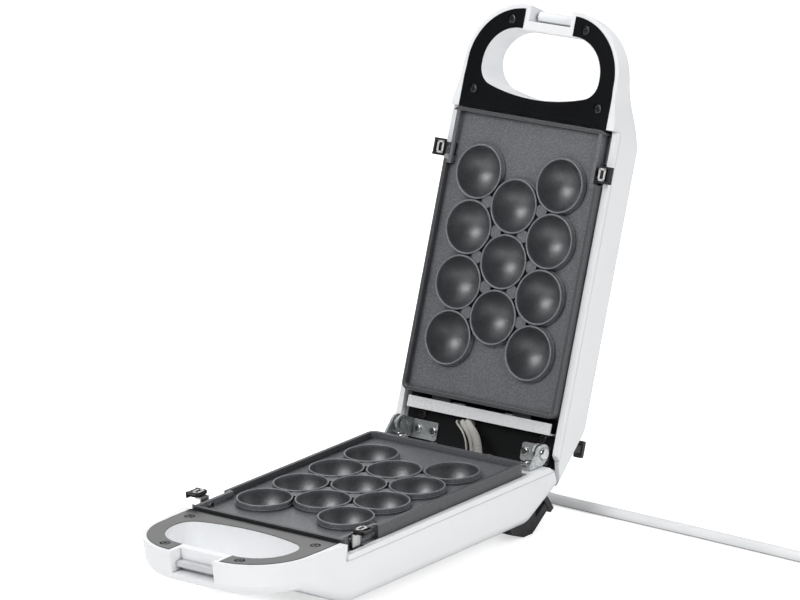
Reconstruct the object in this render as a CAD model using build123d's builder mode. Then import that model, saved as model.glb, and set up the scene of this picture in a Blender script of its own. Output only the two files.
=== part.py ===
from build123d import *
import os
from math import asin, atan2, cos, degrees, pi, radians, sin, tan

# Cake pop maker: two white plastic shells joined by a rear hinge, each with a non-stick plate of
# eleven half-ball cups, a handle loop at the front and a tubular heater under the plate.
# Both halves are drawn cups up, with the parting plane at z = 0 and the cup field centred at
# x = y = 0, the handle towards -Y.  The lid is then mirrored in the parting plane and swung open.

os.makedirs("parts", exist_ok=True)

# ---------------------------------------------------------------- cups and plates
cup_radius = 16.6            # inside of a half-ball cup
cup_wall = 2.0
ridge_width = 1.2            # raised ring round each cup
ridge_round = 0.5            # rounding of its two top edges
collar_height = 1.4          # thicker foot of the ridge above the floor
row_pitch = 36.0             # between cups along a column
column_pitch = 31.84         # between the three columns
closing_gap = 0.4            # between the two plates when shut
plate_side_margin = 10.7     # outer ridge to plate edge
plate_front_margin = 21.2
plate_rear_margin = 20.2
plate_wall = 2.3             # rim wall, and the floor between the cups
plate_floor_depth = 4.6      # floor below the parting plane
plate_rim_depth = 8.5        # underside of the rim wall
plate_corner = 5.0
notch_depth = 3.3            # the rim steps in here to clear the clips
notch_front_margin = 2.5
notch_length = 32.0
web_drop = 1.2               # webs between the ridges lie this far below the rim
tab_width = 14.0             # rear tabs that slip under the rail
tab_spacing = 64.0
tab_reach = 5.2
tab_thickness = 1.8

# ---------------------------------------------------------------- shells
plate_clearance = 1.2        # plate edge to the inside of the shell
body_wall = 3.2
body_depth = 43.5            # parting plane to the flat underside
body_draft = 6.5             # degrees, every outer wall leans in towards the underside
rim_band = 4.0               # step line below the rim
base_rim_depth = 8.5         # parting plane to the shell rim
lid_rim_depth = 6.0
handle_reach = 71.7          # plate front edge to the tip of the handle
handle_half_width = 60.5
handle_corner = 42.0
handle_depth = 23.0
handle_top_depth = 2.1       # parting plane to the edge of the handle shell
handle_wall = 2.5
edge_round = 9.0             # rounding of the outer lower edges
underside_round = 14.0
blend_round = 30.0           # hollow curve where the handle deepens into the body
divider_wall = 2.4           # wall between the plate well and the handle
divider_gap = 0.6            # plate front edge to that wall
body_blend_front = 35.0      # plate front edge to where the handle starts to deepen
body_blend_rear = 7.0        # plate front edge to where the full depth starts
underside_rear = 5.5         # plate rear edge to where the underside turns up
base_tip_reach = 33.2        # plate rear edge to the rearmost lip
base_tip_depth = 24.9
lid_tip_reach = 41.5
lid_tip_depth = 18.4
tip_height = 2.0
base_deck_reach = 20.5       # plate rear edge to the end of the level deck
base_knee_reach = 27.9       # and to the knee between the deck and the lip
base_knee_depth = 14.2
lid_deck_reach = 22.5
lid_knee_reach = 26.0
lid_knee_depth = 10.7

# ---------------------------------------------------------------- hand hole and handle trim
hole_half_width = 45.5
hole_front_wall = 16.4       # handle tip to the hole
hole_rear = 12.5             # plate front edge to the middle of the hole's rear side
hole_rear_radius = 135.0
hole_front_corner = 24.0
hole_rear_corner = 12.0
corner_straight = 0.5        # least straight side between two corners of the hole
hole_wall = 1.8              # shell wall round the hole, under the trim
hole_lip = 0.5               # white lip between hole and trim
trim_top_depth = 1.8
trim_thickness = 2.5
trim_fit = 0.15
trim_end = 19.5              # half the gap between the ends of the trim at the latch

# ---------------------------------------------------------------- latch
latch_pocket_half = 16.3
latch_pocket_wall = 10.5     # handle tip to the rear wall of the pocket
latch_pivot_back = 6.5       # handle tip to the pivot
latch_pivot_height = 11.5    # pivot above the parting plane, in the lid
latch_barrel_radius = 3.7
latch_half = 13.4
latch_arm = 2.5
latch_toe = 3.3              # reach of the toe under the keeper
latch_fit = 0.3
keeper_depth = 9.4           # parting plane to the top of the keeper
keeper_thickness = 3.2
pin_radius = 1.6
pin_fit = 0.05
latch_pin_bite = 2.8         # pin held in each side wall of the pocket

# ---------------------------------------------------------------- hinge
hinge_back = 22.2            # plate rear edge to the hinge axis
hinge_height = -0.7          # axis against the parting plane
lid_open_angle = 109.3
bracket_sheet = 1.6
base_ear_x = 57.2            # inner face of the base ear
base_ear_radius = 6.0
base_flange_width = 12.0
base_flange_length = 13.0
base_screw_pitch = 6.8
spacer_thickness = 2.2
spacer_radius = 4.6
hinge_gap = 0.1              # play of the lid ear along the rivet
lid_ear_radius = 5.8
lid_flange_width = 21.5
lid_flange_length = 12.0
lid_flange_back = 1.3        # hinge axis to the middle of the lid flange
lid_screw_pitch = 12.2
rear_panel_depth = 12.5      # parting plane to the face of the lid's rear panel
rear_panel_thickness = 2.0
rear_panel_start = 0.6       # plate rear edge to the panel
rear_panel_length = 30.4
panel_fit = 0.3
rivet_radius = 2.2
rivet_head_radius = 4.15
rivet_head_height = 2.0
rivet_head_round = 1.8
rivet_tail_radius = 3.4
rivet_tail_height = 1.2
bracket_corner = 2.0

# ---------------------------------------------------------------- screws
screw_head_radius = 2.9
screw_head_height = 1.5
screw_head_round = 0.9
screw_head_play = 0.4        # between a head and its counterbore
screw_shank_radius = 1.4
screw_length = 8.0
trim_rear_x = 49.0           # screws of the trim beside the hand hole
trim_rear_y = 13.0
trim_front_x = 29.0          # and near the latch
trim_front_y = 11.0
panel_screw_x = 48.0
cross_length = 3.2
cross_width = 0.7
cross_depth = 0.7
bore_depth = 1.3             # counterbore of the trim screws

# ---------------------------------------------------------------- heating
tray_gap = 0.1               # plate rim to the flange of the tray
tray_sheet = 1.0
tray_half_width = 55.5
thermostat_gap = 3.3         # thermostat to the floor of the shell
tray_inset = 5.0             # tray wall behind the plate edge, front and rear
tray_corner = 3.0
heater_radius = 3.2
heater_half_width = 38.0
heater_front = 70.0
heater_rear = 72.0
heater_bend = 20.0
heater_lift = 0.1            # heater clear of the tray floor
heater_end_gap = 24.0        # between the two cold ends
thermostat_radius = 8.0
thermostat_height = 7.0
post_radius = 4.0
post_x = 44.0
post_front = 72.0
post_rear = 74.0

# ---------------------------------------------------------------- plate rails
rail_width = 7.4
base_rail_half = 46.0
lid_rail_half = 56.5
rail_foot_width = 12.0
rail_foot_length = 8.2
rail_screw_x = 22.0
rail_screw_gap = 0.4         # screw head to the upright of the rail
rail_sheet = 1.2
rail_depth = 4.75
rail_gap = 3.0               # plate rear edge to the rail

# ---------------------------------------------------------------- plate clips
clip_width = 7.6
clip_strip = 1.2
clip_stand_off = 1.4         # plate notch to the inner face of the upright strip
clip_pivot_drop = 5.5        # shell rim to the pivot
clip_curl_radius = 1.8
clip_pin_radius = 1.0
clip_nose = 2.5
clip_nose_depth = 3.2        # parting plane to the top of the nose
clip_play = 0.3
clip_slot_rise = 0.9         # slot in the plate rim above the nose
clip_ear_sheet = 1.5
clip_pocket = 2.6            # hollow in the shell wall beside the strip
base_clip_y = -79.5
lid_clip_y = -65.4
base_clip_top = 1.8          # top of the upright strip against the parting plane
lid_clip_top = -1.2
lever_start = 3.2            # inner face of the strip to the lever
lever_reach = 8.4
lever_length = 11.0
lever_thickness = 2.7

# ---------------------------------------------------------------- feet, cord hooks and lamps
standing_height = 52.0       # table to parting plane
rear_foot_half = 6.5
rear_foot_x = 49.0
boot_toe = 80.5              # front end of the boot
boot_slope = 16.0            # of the toe, front to back
boot_sole_end = 106.1        # rear end of the sole
boot_heel = 109.3            # rear face of the boot
boot_step = 4.0              # small slopes at the toe and the heel
boot_hook_y = 122.0
boot_hook_depth = 38.0
boot_hook_angle = 35.0
boot_hook_length = 13.0
boot_hook_sheet = 4.0
boot_stem = 6.0
boot_stem_length = 19.0
front_foot_radius = 7.0
front_foot_x = 25.0
front_foot_y = -40.0
hook_x = 53.0
hook_y = 108.5
hook_stem = 4.7
hook_stem_length = 9.0
hook_head_length = 11.0
hook_head_width = 6.0
hook_head_thickness = 3.5
hook_corner = 1.0
hook_edge = 0.8
lamp_radius = 3.0
lamp_proud = 0.8
lamp_round = 0.7
lamp_length = 6.0
lamp_x = 10.0
lamp_y = 30.0

# ---------------------------------------------------------------- cord and plug
cord_radius = 3.5
relief_x = -12.0
relief_depth = 36.0
relief_length = 13.0
relief_radius = 5.2
sleeve_wall = 0.8            # thinnest edge of the relief and of the plug's nose round the cord
terminal_y = 80.0
terminal_length = 28.0
terminal_width = 12.0
terminal_height = 9.0
cord_exit_y = 124.0
cord_bend_share = 0.45       # of a run that a bend at its end may use
cord_route = [
    (relief_x, cord_exit_y, -relief_depth),
    (relief_x, 139, -relief_depth),
    (-6, 152.5, -40.5),
    (8, 160, -45.5),
    (29, 162, -48.5),
    (52, 161, -48.5),
    (120, 159.4, -48.5),
    (172, 157.5, -48.5),
    (216, 155.8, -48.5),
    (258, 153, -48.5),
]
coil_x = 258.0
coil_y = 192.6
coil_turn_radius = 36.0
coil_half_width = 7.2
coil_height = 13.0
tail_route = [
    (coil_x + coil_turn_radius + cord_radius, coil_y, -48.5),
    (298, 208, -48.0),
    (303, 224, -46.5),
    (315, 236, -45.5),
    (331, 241, -45.5),
]
plug_length = 27.0
plug_width = 22.0
plug_height = 13.0
plug_nose = 11.0
blade_spacing = 12.7
blade_width = 6.3
blade_thickness = 1.5
blade_length = 17.0
sleeve_radius = 3.0
sleeve_gap = 0.3             # clear of the deck and of the lid's rear panel
sleeve_rise = 8.0
sleeve_base_x = 8.0
sleeve_base_y = 110.8
sleeve_lid_x = -10.5
sleeve_lid_y = 105.5


def both_sides(x, y):
    """The place and its mirror image across the middle of the appliance."""
    return [(-x, y), (x, y)]


# ---------------------------------------------------------------- values that follow
ridge_radius = cup_radius + ridge_width
plate_top = -closing_gap / 2
plate_half_width = column_pitch + ridge_radius + plate_side_margin
plate_front = 1.5 * row_pitch + ridge_radius + plate_front_margin
plate_rear = 1.5 * row_pitch + ridge_radius + plate_rear_margin
notch_start = plate_front - notch_front_margin
notch_end = notch_start - notch_length
body_half_width = plate_half_width + plate_clearance + body_wall
handle_front = plate_front + handle_reach
divider_rear = plate_front + divider_gap
divider_front = divider_rear + divider_wall
hole_front = handle_front - hole_front_wall
hole_rear_y = plate_front + hole_rear
pocket_rear = handle_front - latch_pocket_wall
hinge_y = plate_rear + hinge_back
deep = 2 * body_depth

side_cups = [(side * column_pitch, (row - 1.5) * row_pitch) for side in (-1, 1) for row in range(4)]
middle_cups = [(0, (row - 1) * row_pitch) for row in range(3)]
cups = side_cups + middle_cups
outer_webs = [
    (side * column_pitch * 2 / 3, (row - 1) * row_pitch) for side in (-1, 1) for row in range(3)
]
inner_webs = [(side * column_pitch / 3, (row - 0.5) * row_pitch) for side in (-1, 1) for row in range(2)]
web_radius = row_pitch / 3**0.5 - ridge_radius + ridge_width

base_tip_y = plate_rear + base_tip_reach
lid_tip_y = plate_rear + lid_tip_reach
base_knee = (plate_rear + base_knee_reach, -base_knee_depth)
base_deck_end = plate_rear + base_deck_reach
base_line = (base_rim_depth, base_tip_y, base_tip_depth, base_knee, base_deck_end)
lid_knee = (plate_rear + lid_knee_reach, -lid_knee_depth)
lid_line = (lid_rim_depth, lid_tip_y, lid_tip_depth, lid_knee, plate_rear + lid_deck_reach)
panel_y = plate_rear + rear_panel_start
panel_end = panel_y + rear_panel_length
lean_at_panel = (rear_panel_depth + rear_panel_thickness) * tan(radians(body_draft))
panel_half = body_half_width - body_wall - lean_at_panel - panel_fit
clip_pivot_x = plate_half_width - notch_depth + clip_stand_off + clip_strip / 2
clip_ear_span = clip_width + 2 * (clip_play + clip_ear_sheet)
clip_pocket_x = clip_pivot_x - clip_strip / 2
nose_underside = clip_nose_depth + clip_strip
tray_depth = body_depth - body_wall - thermostat_gap - thermostat_height - tray_sheet
tray_screws = both_sides(post_x, -post_front) + both_sides(post_x, post_rear)
trim_screws = both_sides(trim_rear_x, -plate_front - trim_rear_y)
trim_screws += both_sides(trim_front_x, -handle_front + trim_front_y)
trim_seat = trim_top_depth + trim_thickness
lean_at_trim = trim_seat * tan(radians(body_draft))
rail_back = plate_rear + rail_gap + rail_width
screw_set_off = screw_head_radius + rail_screw_gap
base_rail_screws = both_sides(rail_screw_x, rail_back + screw_set_off)
lid_rail_screws = both_sides(rail_screw_x, rail_back - rail_sheet - screw_set_off)
pivot_y = -handle_front + latch_pivot_back
arm_end = keeper_depth + keeper_thickness + latch_fit + latch_arm
arm_length = latch_pivot_height + arm_end
swing_radius = (arm_length**2 + latch_barrel_radius**2) ** 0.5
base_pocket_depth = swing_radius - latch_pivot_height + latch_fit
lid_ear_outer = base_ear_x - spacer_thickness - hinge_gap
lid_ear_x = lid_ear_outer - bracket_sheet
base_flange_end = base_deck_end
base_flange_start = base_flange_end - base_flange_length
base_outer_x = base_ear_x + bracket_sheet
base_screw_x = base_outer_x - base_flange_width + screw_head_radius + bracket_corner / 4
base_screw_y = (base_flange_start + base_flange_end) / 2
base_bracket_screws = [
    (base_screw_x, base_screw_y - base_screw_pitch / 2),
    (base_screw_x, base_screw_y + base_screw_pitch / 2),
]
lid_flange_y = hinge_y + lid_flange_back
lid_screw_x = lid_ear_outer - lid_flange_width / 2 - bracket_sheet
lid_bracket_screws = [
    (lid_screw_x - lid_screw_pitch / 2, lid_flange_y),
    (lid_screw_x + lid_screw_pitch / 2, lid_flange_y),
]
panel_screws = both_sides(panel_screw_x, rail_back + screw_set_off)
hook_rise = (body_depth - lid_tip_depth - tip_height) / (lid_tip_reach - underside_rear)
hook_seat = body_depth - hook_rise * (hook_y - plate_rear - underside_rear)


# ---------------------------------------------------------------- outlines
def shell_outline(inset):
    """Sketch the plan of a shell, every side moved in by inset; it runs on past the rear."""
    corner_y = -handle_front + handle_corner
    flare_y = -plate_front + body_blend_rear
    flat = handle_half_width - handle_corner
    half_x = (body_half_width - handle_half_width) / 2
    half_y = (flare_y - corner_y) / 2
    lean = 2 * atan2(half_x, half_y)
    flare_middle = (handle_half_width + half_x - inset * cos(lean), corner_y + half_y + inset * sin(lean))
    with BuildSketch() as plan:
        with BuildLine():
            Line((0, -handle_front + inset), (flat, -handle_front + inset))
            CenterArc((flat, corner_y), handle_corner - inset, -90, 90)
            TangentArc((handle_half_width - inset, corner_y), flare_middle, tangent=(0, 1))
            TangentArc(flare_middle, (body_half_width - inset, flare_y), tangent=(sin(lean), cos(lean)))
            Polyline(
                (body_half_width - inset, flare_y),
                (body_half_width - inset, hinge_y + deep),
                (0, hinge_y + deep),
            )
            mirror(about=Plane.YZ)
        make_face()
    return plan.sketch


def underside(tip_y, tip_depth, inset):
    """Sketch everything above a shell's underside, seen from the side, in the YZ plane."""
    blend_y = -plate_front - body_blend_front
    turn_y = plate_rear + underside_rear
    rise = (body_depth - tip_depth - tip_height) / (tip_y - turn_y)
    with BuildSketch() as side:
        with BuildLine():
            Polyline(
                (-handle_front - deep, deep),
                (-handle_front - deep, -handle_depth),
                (blend_y, -handle_depth),
                (-plate_front + body_blend_rear, -body_depth),
                (turn_y, -body_depth),
                (hinge_y + deep, -body_depth + rise * (hinge_y + deep - turn_y)),
                (hinge_y + deep, deep),
                close=True,
            )
        make_face()
        lowest = side.vertices().group_by(Axis.Y)[0]
        fillet(lowest, underside_round)
        fillet(side.vertices().filter_by(lambda point: abs(point.X - blend_y) < 0.1), blend_round)
        if inset:
            offset(amount=-inset)
    return side.sketch


def above_shell(rim_depth, tip_y, tip_depth, knee, deck_end, grow):
    """Sketch everything above and behind a shell, in the YZ plane, enlarged by grow."""
    far = hinge_y + 2 * deep
    with BuildSketch() as top:
        with BuildLine():
            Polyline(
                (-far, -handle_top_depth),
                (-divider_rear, -handle_top_depth),
                (-divider_rear, -rim_depth),
                (deck_end, -rim_depth),
                knee,
                (tip_y, -tip_depth),
                (tip_y, -2 * deep),
                (far, -2 * deep),
                (far, 2 * deep),
                (-far, 2 * deep),
                close=True,
            )
        make_face()
        if grow:
            offset(amount=grow)
    return top.sketch


def hole_outline(grow):
    """Sketch the hand hole, enlarged by grow."""
    half = hole_half_width
    sag = hole_rear_radius - (hole_rear_radius**2 - half**2) ** 0.5
    rear_slope = degrees(asin(half / hole_rear_radius))
    rear_run = hole_rear_corner * tan(radians((90 - rear_slope) / 2))
    side_left = hole_front - hole_rear_y - sag - rear_run - corner_straight
    with BuildSketch() as hole:
        with BuildLine():
            Polyline(
                (-half, -hole_rear_y - sag),
                (-half, -hole_front),
                (half, -hole_front),
                (half, -hole_rear_y - sag),
            )
            ThreePointArc((half, -hole_rear_y - sag), (0, -hole_rear_y), (-half, -hole_rear_y - sag))
        make_face()
        fillet(hole.vertices().group_by(Axis.Y)[0], min(hole_front_corner, side_left))
        fillet(hole.vertices().group_by(Axis.Y)[-1], hole_rear_corner)
        if grow:
            offset(amount=grow)
    return hole.sketch


def trim_outline(grow, rear_edge, inner_edge):
    """Sketch a ring round the hand hole, open in front at the latch, enlarged by grow."""
    with BuildSketch() as ring:
        add(shell_outline(handle_wall + lean_at_trim - grow))
        with Locations((0, -rear_edge + grow)):
            Rectangle(deep * 4, deep * 4, align=(Align.CENTER, Align.MIN), mode=Mode.SUBTRACT)
        with Locations((0, -handle_front)):
            Rectangle(2 * (handle_half_width - handle_wall + grow), 2 * deep, mode=Mode.INTERSECT)
        add(hole_outline(inner_edge - grow), mode=Mode.SUBTRACT)
        with Locations((0, -hole_front)):
            Rectangle(2 * (trim_end - grow), deep, align=(Align.CENTER, Align.MAX), mode=Mode.SUBTRACT)
    return ring.sketch


# ---------------------------------------------------------------- shells
def shell_block(tip_y, tip_depth, inset):
    """A solid block of a shell's outer form without its top line, moved in by inset."""
    lean = body_depth * tan(radians(body_draft))
    with BuildPart() as block:
        with BuildSketch():
            add(shell_outline(inset))
        with BuildSketch(Plane.XY.offset(-body_depth)):
            add(shell_outline(inset + lean))
        loft(ruled=True)
        with BuildSketch(Plane.YZ):
            add(underside(tip_y, tip_depth, inset))
        extrude(amount=deep, both=True, mode=Mode.INTERSECT)
        lower = block.faces().filter_by(lambda face: face.normal_at().Z < -0.3)
        seams = [edge for face in lower for edge in face.edges()]
        rims = ShapeList(
            edge
            for edge in seams
            if sum(edge.is_same(other) for other in seams) == 1 and edge.center().Y < hinge_y + body_depth
        )
        fillet(rims, edge_round - inset)
    return block.part


def half_shell(rim_depth, tip_y, tip_depth, knee, deck_end, opening_rear, pocket_depth, clip_y, posts):
    """One hollow shell: well for the plate, trough for the trim, hand hole, posts and pockets."""
    band_inner = shell_outline(body_wall / 2)
    well_middle = (opening_rear - divider_rear) / 2
    cavity_block = shell_block(tip_y, tip_depth, body_wall)
    trough_block = shell_block(tip_y, tip_depth, handle_wall)
    outer_block = shell_block(tip_y, tip_depth, 0)

    with BuildPart() as cavity:
        add(cavity_block)
        with BuildSketch(Plane.YZ):
            add(above_shell(rim_depth, tip_y, tip_depth, knee, deck_end, body_wall))
            with Locations((well_middle, 0)):
                Rectangle(opening_rear + divider_rear, body_depth, mode=Mode.SUBTRACT)
        extrude(amount=deep, both=True, mode=Mode.SUBTRACT)
        with Locations((0, -divider_rear, 0)):
            Box(
                2 * deep,
                2 * deep,
                2 * deep,
                align=(Align.CENTER, Align.MAX, Align.CENTER),
                mode=Mode.SUBTRACT,
            )

    with BuildPart() as trough:
        with BuildSketch():
            add(trim_outline(0, divider_front, hole_wall))
        extrude(amount=-body_depth)
        add(trough_block, mode=Mode.INTERSECT)
        with BuildSketch():
            add(trim_outline(0, divider_rear, hole_lip))
        extrude(amount=-trim_seat)

    with BuildPart() as supports:
        for x, y, top_depth in posts:
            with BuildSketch(Plane.XY.offset(-top_depth)):
                with Locations((x, y)):
                    Circle(post_radius)
            extrude(amount=-body_depth)
        add(outer_block, mode=Mode.INTERSECT)

    with BuildPart() as shell:
        add(outer_block)
        with BuildSketch(Plane.XY.offset(-rim_depth)):
            add(shell_outline(0))
            add(band_inner, mode=Mode.SUBTRACT)
            with Locations((0, -divider_rear)):
                Rectangle(4 * deep, 4 * deep, align=(Align.CENTER, Align.MAX), mode=Mode.SUBTRACT)
        extrude(amount=-rim_band)
        with BuildSketch(Plane.YZ):
            add(above_shell(rim_depth, tip_y, tip_depth, knee, deck_end, 0))
        extrude(amount=deep, both=True, mode=Mode.SUBTRACT)
        add(cavity.part, mode=Mode.SUBTRACT)
        add(trough.part, mode=Mode.SUBTRACT)
        add(supports.part)
        for x, y, top_depth in posts:
            with Locations((x, y, -top_depth)):
                Cylinder(
                    screw_shank_radius,
                    screw_length,
                    align=(Align.CENTER, Align.CENTER, Align.MAX),
                    mode=Mode.SUBTRACT,
                )
        with BuildSketch():
            add(hole_outline(0))
        extrude(amount=-body_depth, mode=Mode.SUBTRACT)
        with Locations((0, -pocket_rear, 0)):
            Box(
                2 * latch_pocket_half,
                deep,
                2 * pocket_depth,
                align=(Align.CENTER, Align.MAX, Align.CENTER),
                mode=Mode.SUBTRACT,
            )
        with Locations((-clip_pocket_x, clip_y, -rim_depth), (clip_pocket_x, clip_y, -rim_depth)):
            Box(
                2 * clip_pocket,
                clip_ear_span + 1,
                2 * (clip_pivot_drop + clip_curl_radius + 1),
                mode=Mode.SUBTRACT,
            )
    return shell


# ---------------------------------------------------------------- fasteners
def pan_screw():
    """A cross-head pan screw, the underside of its head at z = 0."""
    with BuildPart() as screw:
        Cylinder(screw_head_radius, screw_head_height, align=(Align.CENTER, Align.CENTER, Align.MIN))
        fillet(screw.edges().group_by(Axis.Z)[-1], screw_head_round)
        Cylinder(screw_shank_radius, screw_length, align=(Align.CENTER, Align.CENTER, Align.MAX))
        with BuildSketch(Plane.XY.offset(screw_head_height)):
            Rectangle(cross_length, cross_width)
            Rectangle(cross_width, cross_length)
        extrude(amount=-cross_depth, mode=Mode.SUBTRACT)
    return screw.part


def screw_set(places, depth):
    """Screws at the given places, their heads seated at the given depth."""
    with BuildPart() as screws:
        with Locations(*[(x, y, -depth) for x, y in places]):
            add(screw_pattern)
    return screws


# ---------------------------------------------------------------- plate, tray and heater
def plate_outline(inset):
    """Sketch the plate's edge with its two side notches, moved in by inset."""
    with BuildSketch() as outline:
        with Locations((0, (plate_rear - plate_front) / 2)):
            RectangleRounded(
                2 * (plate_half_width - inset), plate_front + plate_rear - 2 * inset, plate_corner - inset
            )
        with Locations(*both_sides(plate_half_width, -(notch_start + notch_end) / 2)):
            Rectangle(2 * (notch_depth + inset), notch_length + 2 * inset, mode=Mode.SUBTRACT)
    return outline.sketch


def cup():
    """One cup, turned about its axis, its rim at z = 0: bowl, ridge and the collar at its foot."""
    floor = plate_floor_depth + plate_top
    with BuildPart() as bowl:
        with BuildSketch(Plane.XZ) as section:
            Circle(cup_radius + cup_wall)
            with Locations((0, collar_height - floor)):
                Rectangle(deep, deep, align=(Align.CENTER, Align.MIN), mode=Mode.SUBTRACT)
            Rectangle(ridge_radius, floor + plate_wall, align=(Align.MIN, Align.MAX))
            Circle(cup_radius, mode=Mode.SUBTRACT)
            Rectangle(deep, deep, align=(Align.MIN, Align.MAX), mode=Mode.INTERSECT)
            fillet(section.vertices().group_by(Axis.Y)[-1], ridge_round)
        revolve(axis=Axis.Z)
    return bowl.part


def cooking_plate(clip_y):
    """Plate with eleven cups, ridges round them, webs between, a raised rim and rear tabs."""
    edge = plate_outline(0)
    well = plate_outline(plate_wall)
    with BuildPart() as plate:
        with BuildSketch(Plane.XY.offset(plate_top)):
            add(edge)
        extrude(amount=-(plate_rim_depth + plate_top))
        with BuildSketch(Plane.XY.offset(plate_top)):
            add(well)
        extrude(amount=-(plate_floor_depth + plate_top), mode=Mode.SUBTRACT)
        with BuildSketch(Plane.XY.offset(-plate_floor_depth - plate_wall)):
            add(well)
        extrude(amount=-body_depth, mode=Mode.SUBTRACT)
        with BuildSketch(Plane.XY.offset(-web_drop)):
            with Locations(*(outer_webs + inner_webs)):
                Circle(web_radius)
        extrude(amount=-(plate_floor_depth + plate_wall - web_drop))
        with Locations(*[(x, y, plate_top) for x, y in cups]):
            Cylinder(cup_radius + ridge_width / 2, deep, mode=Mode.SUBTRACT)
        with Locations(*[(x, y, plate_top) for x, y in cups]):
            add(cup_pattern)
        tab_y = plate_rear + tab_reach / 2
        tab_z = -rail_depth - rail_sheet - tab_thickness / 2 - clip_play
        with Locations((-tab_spacing / 2, tab_y, tab_z), (tab_spacing / 2, tab_y, tab_z)):
            Box(tab_width, tab_reach, tab_thickness)
        slot_x = plate_half_width - notch_depth - plate_wall / 2
        slot_top = clip_nose_depth - clip_slot_rise
        slot_z = -(slot_top + nose_underside + clip_play) / 2
        with Locations((-slot_x, clip_y, slot_z), (slot_x, clip_y, slot_z)):
            Box(
                plate_wall + 1,
                clip_width + 2 * clip_play,
                nose_underside + clip_play - slot_top,
                mode=Mode.SUBTRACT,
            )
    return plate


def heat_tray(clip_y, rim_depth):
    """Sheet-metal pan round the cups; its flange carries the plate, its ears the clip pins."""
    flange_depth = plate_rim_depth + tray_gap
    pivot_z = -rim_depth - clip_pivot_drop
    middle_y = (plate_rear - plate_front) / 2
    tray_length = plate_front + plate_rear - 2 * tray_inset
    with BuildPart() as tray:
        with BuildSketch(Plane.XY.offset(-flange_depth)):
            with Locations((0, middle_y)):
                RectangleRounded(
                    2 * plate_half_width - 2 * clip_play, plate_front + plate_rear, plate_corner
                )
            with Locations((-plate_half_width, clip_y), (plate_half_width, clip_y)):
                Rectangle(
                    2 * (plate_half_width - tray_half_width), clip_ear_span + 2, mode=Mode.SUBTRACT
                )
        extrude(amount=-tray_sheet)
        with BuildSketch(Plane.XY.offset(-flange_depth)):
            with Locations((0, middle_y)):
                RectangleRounded(2 * tray_half_width, tray_length, tray_corner)
        extrude(amount=-(tray_depth + tray_sheet - flange_depth))
        with BuildSketch(Plane.XY.offset(-flange_depth)):
            with Locations((0, middle_y)):
                RectangleRounded(
                    2 * (tray_half_width - tray_sheet),
                    tray_length - 2 * tray_sheet,
                    tray_corner - tray_sheet,
                )
        extrude(amount=-(tray_depth - flange_depth), mode=Mode.SUBTRACT)
        ear_reach = clip_pivot_x + clip_pin_radius + 1 - tray_half_width
        ear_y = clip_width / 2 + clip_play + clip_ear_sheet / 2
        for side in (-1, 1):
            with Locations(
                (side * (tray_half_width + ear_reach / 2), clip_y - ear_y, pivot_z),
                (side * (tray_half_width + ear_reach / 2), clip_y + ear_y, pivot_z),
            ):
                Box(ear_reach, clip_ear_sheet, 2 * clip_curl_radius)
            with BuildSketch(Plane.XZ.offset(-clip_y)):
                with Locations((side * clip_pivot_x, pivot_z)):
                    Circle(clip_pin_radius)
            extrude(amount=clip_ear_span, both=True, mode=Mode.SUBTRACT)
        with Locations(*[(x, y, -tray_depth) for x, y in tray_screws]):
            Cylinder(screw_shank_radius, 4 * tray_sheet, mode=Mode.SUBTRACT)
    return tray


def heater():
    """Tubular element bent in a loop round the foot of the cups, lying on the tray."""
    height = -tray_depth + heater_lift + heater_radius
    cold = heater_end_gap / 2
    with BuildPart() as element:
        with BuildLine():
            FilletPolyline(
                (-cold, heater_rear, height),
                (-heater_half_width, heater_rear, height),
                (-heater_half_width, -heater_front, height),
                (heater_half_width, -heater_front, height),
                (heater_half_width, heater_rear, height),
                (cold, heater_rear, height),
                radius=heater_bend,
            )
        with BuildSketch(Plane((-cold, heater_rear, height), z_dir=(-1, 0, 0))):
            Circle(heater_radius)
        sweep()
    return element


def thermostat():
    """Disc thermostat pressed against the underside of the tray, with two tag terminals."""
    with BuildPart() as disc:
        with BuildSketch(Plane.XY.offset(-tray_depth - tray_sheet)):
            Circle(thermostat_radius)
        extrude(amount=-thermostat_height)
        with BuildSketch(Plane.XY.offset(-tray_depth - tray_sheet)):
            Rectangle(4 * thermostat_radius, thermostat_radius)
        extrude(amount=-tray_sheet)
    return disc


def plate_rail(half_length, seat_depth, screws):
    """Bent strip whose front edge holds the plate's rear tabs down, on two feet at its screws."""
    start_y = plate_rear + rail_gap
    leg_y = rail_back - rail_sheet
    foot_start = leg_y if screws[0][1] > leg_y else rail_back - rail_foot_length
    with BuildPart() as rail:
        with BuildSketch(Plane.YZ):
            with Locations((start_y, -rail_depth)):
                Rectangle(rail_width, rail_sheet, align=(Align.MIN, Align.MAX))
            with Locations((leg_y, -rail_depth)):
                Rectangle(rail_sheet, seat_depth - rail_depth, align=(Align.MIN, Align.MAX))
        extrude(amount=half_length, both=True)
        with Locations(*[(x, foot_start, -seat_depth) for x, y in screws]):
            Box(
                rail_foot_width,
                rail_foot_length,
                rail_sheet,
                align=(Align.CENTER, Align.MIN, Align.MIN),
            )
        with Locations(*[(x, y, -seat_depth) for x, y in screws]):
            Cylinder(screw_shank_radius, 4 * rail_sheet, mode=Mode.SUBTRACT)
    return rail


def handle_trim():
    """Flat ring of trim round the hand hole with four counterbored screw holes."""
    with BuildPart() as trim:
        with BuildSketch(Plane.XY.offset(-trim_top_depth)):
            add(trim_outline(-trim_fit, divider_rear, hole_lip))
        extrude(amount=-trim_thickness)
        with Locations(*[(x, y, -trim_top_depth) for x, y in trim_screws]):
            CounterBoreHole(
                screw_shank_radius, screw_head_radius + screw_head_play, bore_depth, trim_thickness
            )
    return trim


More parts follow.
